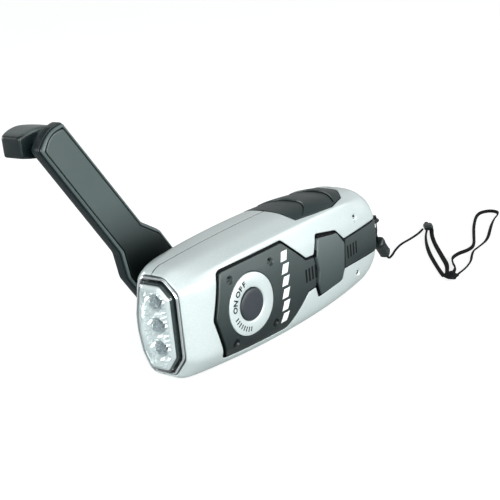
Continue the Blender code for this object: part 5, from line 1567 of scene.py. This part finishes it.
# The cross screws' blackened finish is partly painted shade: darker than plated steel so their pockets read
# as shaded.
screw_black_painted_shade = moulded("blackened_screw_painted_shade", "#14191b", "#1c2224", (0.3, 0.4), (1.5, 0.01), metallic=0.6)
# The reflector and the frame in front of it: bright satin aluminium over white plastic.
bright_reflector = moulded("satin_aluminised_reflector", "#f2f5f6", "#fafcfc", (0.06, 0.14), (0.6, 0.01),
                           metallic=0.4)
# Knotted cord has no run of its own to follow, so its weave is worked out from place.
knot_weave = moulded("knotted_black_polyester", "#050607", "#0f1113", (0.7, 0.82), (1.4, 0.12), specular=0.2)

# Circuit board: green solder mask with copper tracks on a square pattern showing through.
laminate, tree = new_material("solder_masked_laminate")
at = millimetres(tree)
tracks = add(tree, "ShaderNodeTexVoronoi", {"distance": "MANHATTAN", "feature": "F1"}, Vector=at, Scale=0.45)
tracks = tracks.outputs["Distance"]
shade = add(tree, "ShaderNodeMix", RGBA, Factor=tracks, i6=linear("#145c33"), i7=linear("#0c3f22"))
raised = add(tree, "ShaderNodeBump", Height=tracks, Distance=0.05 * MM, Strength=1.0)
shader = add(tree, "ShaderNodeBsdfPrincipled", Base_Color=shade, Roughness=0.34, Normal=raised)
add(tree, "ShaderNodeOutputMaterial", Surface=shader)

# Clear polycarbonate, thin: light passes straight through and its faces mirror more at a slant. Faint
# flow waves break the mirror image.
clear_lens, tree = new_material("clear_polycarbonate")
at = millimetres(tree)
flow = add(tree, "ShaderNodeTexNoise", Vector=at, Scale=0.12, Detail=1.0)
waves = add(tree, "ShaderNodeBump", Height=flow, Distance=0.03 * MM, Strength=1.0)
mirror = add(tree, "ShaderNodeBsdfGlossy", Color=linear("#ffffff"), Roughness=0.02, Normal=waves)
through = add(tree, "ShaderNodeBsdfTransparent", Color=linear("#fafdfd"))
slant = add(tree, "ShaderNodeLayerWeight", Blend=0.5, Normal=waves).outputs["Facing"]
steep = add(tree, "ShaderNodeMath", {"operation": "POWER"}, i0=slant, i1=3.5)
share = add(tree, "ShaderNodeMapRange", Value=steep, From_Min=0.0, From_Max=1.0, To_Min=0.05, To_Max=0.9)
mixed = add(tree, "ShaderNodeMixShader", i0=share, i1=through, i2=mirror)
add(tree, "ShaderNodeOutputMaterial", Surface=mixed)

# LED epoxy: clear and slightly cloudy, so it catches the light as a solid bead.
led_epoxy, tree = new_material("clear_led_epoxy")
at = millimetres(tree)
cloud = add(tree, "ShaderNodeTexNoise", Vector=at, Scale=0.8, Detail=2.0)
cloud = add(tree, "ShaderNodeMapRange", Value=cloud, To_Min=0.0, To_Max=0.05, **NOISE_RANGE)
shader = add(tree, "ShaderNodeBsdfPrincipled", Base_Color=linear("#e9f0f4"), Roughness=cloud, IOR=1.5,
             Transmission_Weight=0.85)
add(tree, "ShaderNodeOutputMaterial", Surface=shader)

# Woven polyester: ribs along each strand. The true weave is about 0.3 mm; it is drawn at 0.7 mm to read.
strap_weave, tree = new_material("woven_black_polyester")
spot = add(tree, "ShaderNodeTexCoord").outputs["UV"]
spot = add(tree, "ShaderNodeVectorMath", {"operation": "MULTIPLY"}, Vector=spot, i1=(1.0, 7.0, 1.0))
slanted = {"bands_direction": "DIAGONAL"}
ribs = add(tree, "ShaderNodeTexWave", slanted, Vector=spot, Scale=0.7, Distortion=0.6).outputs["Fac"]
shade = add(tree, "ShaderNodeMix", RGBA, Factor=ribs, i6=linear("#050607"), i7=linear("#0e1012"))
raised = add(tree, "ShaderNodeBump", Height=ribs, Distance=0.08 * MM, Strength=1.0)
shader = add(tree, "ShaderNodeBsdfPrincipled", Base_Color=shade, Roughness=0.8, Normal=raised,
             Specular_IOR_Level=0.2)
add(tree, "ShaderNodeOutputMaterial", Surface=shader)

FINISHES = {
    "silver_paint": silver_lacquer, "graphite": graphite_painted_shade, "black_plastic": black_abs,
    "soft_rubber": soft_rubber, "clear_lens": clear_lens, "chromed_plastic": chrome,
    "led_epoxy": led_epoxy, "laminate": laminate, "plated_steel": plated_steel, "brass": brass,
    "acetal": acetal, "ferrite": ferrite, "copper": copper, "cell_sleeve": cell_sleeve,
    "strap_cord": strap_weave,
}
# Pieces whose finish isn't that of their slot. A number at a name's end isn't part of it here.
OWN_FINISH = {
    "bridge_face": bridge_painted_lit_and_shade, "crank_arm_bar": bar_painted_highlight, "arm_cover_plate": plate_painted_shade,
    "winding_knob": knob_top_painted_light, "push_button": slate_button, "pale_bar": white_print,
    "panel_rib": painted_shade_black, "tail_rib": painted_shade_black, "grip_groove": painted_shade_black, "black_tray": painted_shade_black,
    "bridge_base": painted_shade_black, "upper_seam_tongue": painted_shade_black, "lower_seam_tongue": painted_shade_black,
    "cross_screw": screw_black_painted_shade, "tail_cross_screw": screw_black_painted_shade, "tail_split_ring": dark_wire,
    "tail_wire_eye": dark_wire, "strap_end_knot": knot_weave, "strap_loop_knot": knot_weave,
    "lens_inner_frame": bright_reflector, "faceted_reflector_plate": bright_reflector,
}

# %% Put the finishes on
finish_of = {}
for part in frame["record"]["subparts"]:
    finish = bright_reflector if part["node"] == "reflector" else FINISHES[part["material_slot"]]
    finish_of[frame["nodes"][part["node"]].name] = finish
for name in PIECES:
    plain = FINISHES[bpy.data.objects[name]["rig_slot"]]
    finish_of[name] = OWN_FINISH.get(name.rstrip("_0123456789"), plain)
for name, finish in finish_of.items():
    mesh = bpy.data.objects[name].data
    mesh.materials.clear()
    mesh.materials.append(finish)
print("finishes on", len(finish_of), "objects")

# %% [markdown]
# ## Light and floor
# A white sweep under soft studio light. The world is white to the camera, as a paper backdrop is, and greyer
# straight above, so the upper narrow side reads darker than the wide side. Three soft lamps stand at the
# button side, before the lens and at the crank side, and the floor keeps the torch's soft shadow.

# %% Floor, world and lamps
floor_mesh = bpy.data.meshes.new("paper_floor")
floor_mesh.from_pydata([(x, y, -0.0001) for x, y in ((-4, -4), (4, -4), (4, 4), (-4, 4))], [], [(0, 1, 2, 3)])
floor = in_scene("paper_floor", floor_mesh)
floor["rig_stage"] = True
paper, tree = new_material("white_sweep_paper")
seen = add(tree, "ShaderNodeLightPath").outputs["Is Camera Ray"]
glow = add(tree, "ShaderNodeMath", {"operation": "MULTIPLY"}, i0=seen, i1=0.78)
glow = add(tree, "ShaderNodeEmission", Color=linear("#ffffff"), Strength=glow)
matt = add(tree, "ShaderNodeBsdfDiffuse", Color=linear("#a2a6a6"))
both = add(tree, "ShaderNodeAddShader", i0=matt, i1=glow)
add(tree, "ShaderNodeOutputMaterial", Surface=both)
floor_mesh.materials.append(paper)

world = bpy.data.worlds.new("white_studio")
world.use_nodes = True
tree = world.node_tree
tree.nodes.clear()
seen = add(tree, "ShaderNodeLightPath").outputs["Is Camera Ray"]
ahead = add(tree, "ShaderNodeSeparateXYZ", Vector=add(tree, "ShaderNodeTexCoord").outputs["Generated"])
by_rise = add(tree, "ShaderNodeMapRange", SMOOTH, Value=ahead.outputs["Z"], From_Min=0.3, From_Max=0.95,
              To_Min=1.0, To_Max=0.32)
sideways = add(tree, "ShaderNodeMath", {"operation": "MULTIPLY_ADD"}, i0=ahead.outputs["X"], i1=0.45,
               i2=ahead.outputs["Y"])
by_side = add(tree, "ShaderNodeMapRange", SMOOTH, Value=sideways, From_Min=-0.15, From_Max=0.12,
              To_Min=1.4, To_Max=0.46)
soft = add(tree, "ShaderNodeMath", {"operation": "MULTIPLY"}, i0=by_rise, i1=by_side)
level = add(tree, "ShaderNodeMix", Factor=seen, A=soft, B=1.0)
sky = add(tree, "ShaderNodeBackground", Color=(0.985, 0.995, 1.0, 1.0), Strength=level)
add(tree, "ShaderNodeOutputWorld", Surface=sky)
bpy.context.scene.world = world


def lamp(name, place, target, size, watts):
    """A square soft lamp that looks at a point."""
    data = bpy.data.lights.new(name, "AREA")
    data.size = size
    data.energy = watts
    obj = in_scene(name, data)
    ahead = unit(np.array(target) - np.array(place))
    right = unit(np.cross(ahead, np.array([0.0, 0.0, 1.0])))
    obj.matrix_world = placed(np.stack([right, np.cross(right, ahead), -ahead], axis=1), place)
    obj.visible_camera = False


lamp("wide_side_lamp", (0.05, -1.1, 0.2), (0.0, 0.0, 0.03), 1.1, 16.0)
lamp("lens_lamp", (-1.2, -0.3, 0.35), (-0.07, 0.0, 0.03), 0.5, 7.0)
lamp("crank_side_lamp", (-0.3, 1.2, 0.2), (0.0, 0.0, 0.05), 0.8, 9.0)
bpy.context.scene.view_settings.view_transform = "Standard"

# %% Sizes
low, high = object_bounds()
counts = {name: len(bpy.data.objects[name].data.polygons) for name in PIECES}
print("faces in all:", sum(counts.values()), "most in one:", max(counts.values()))
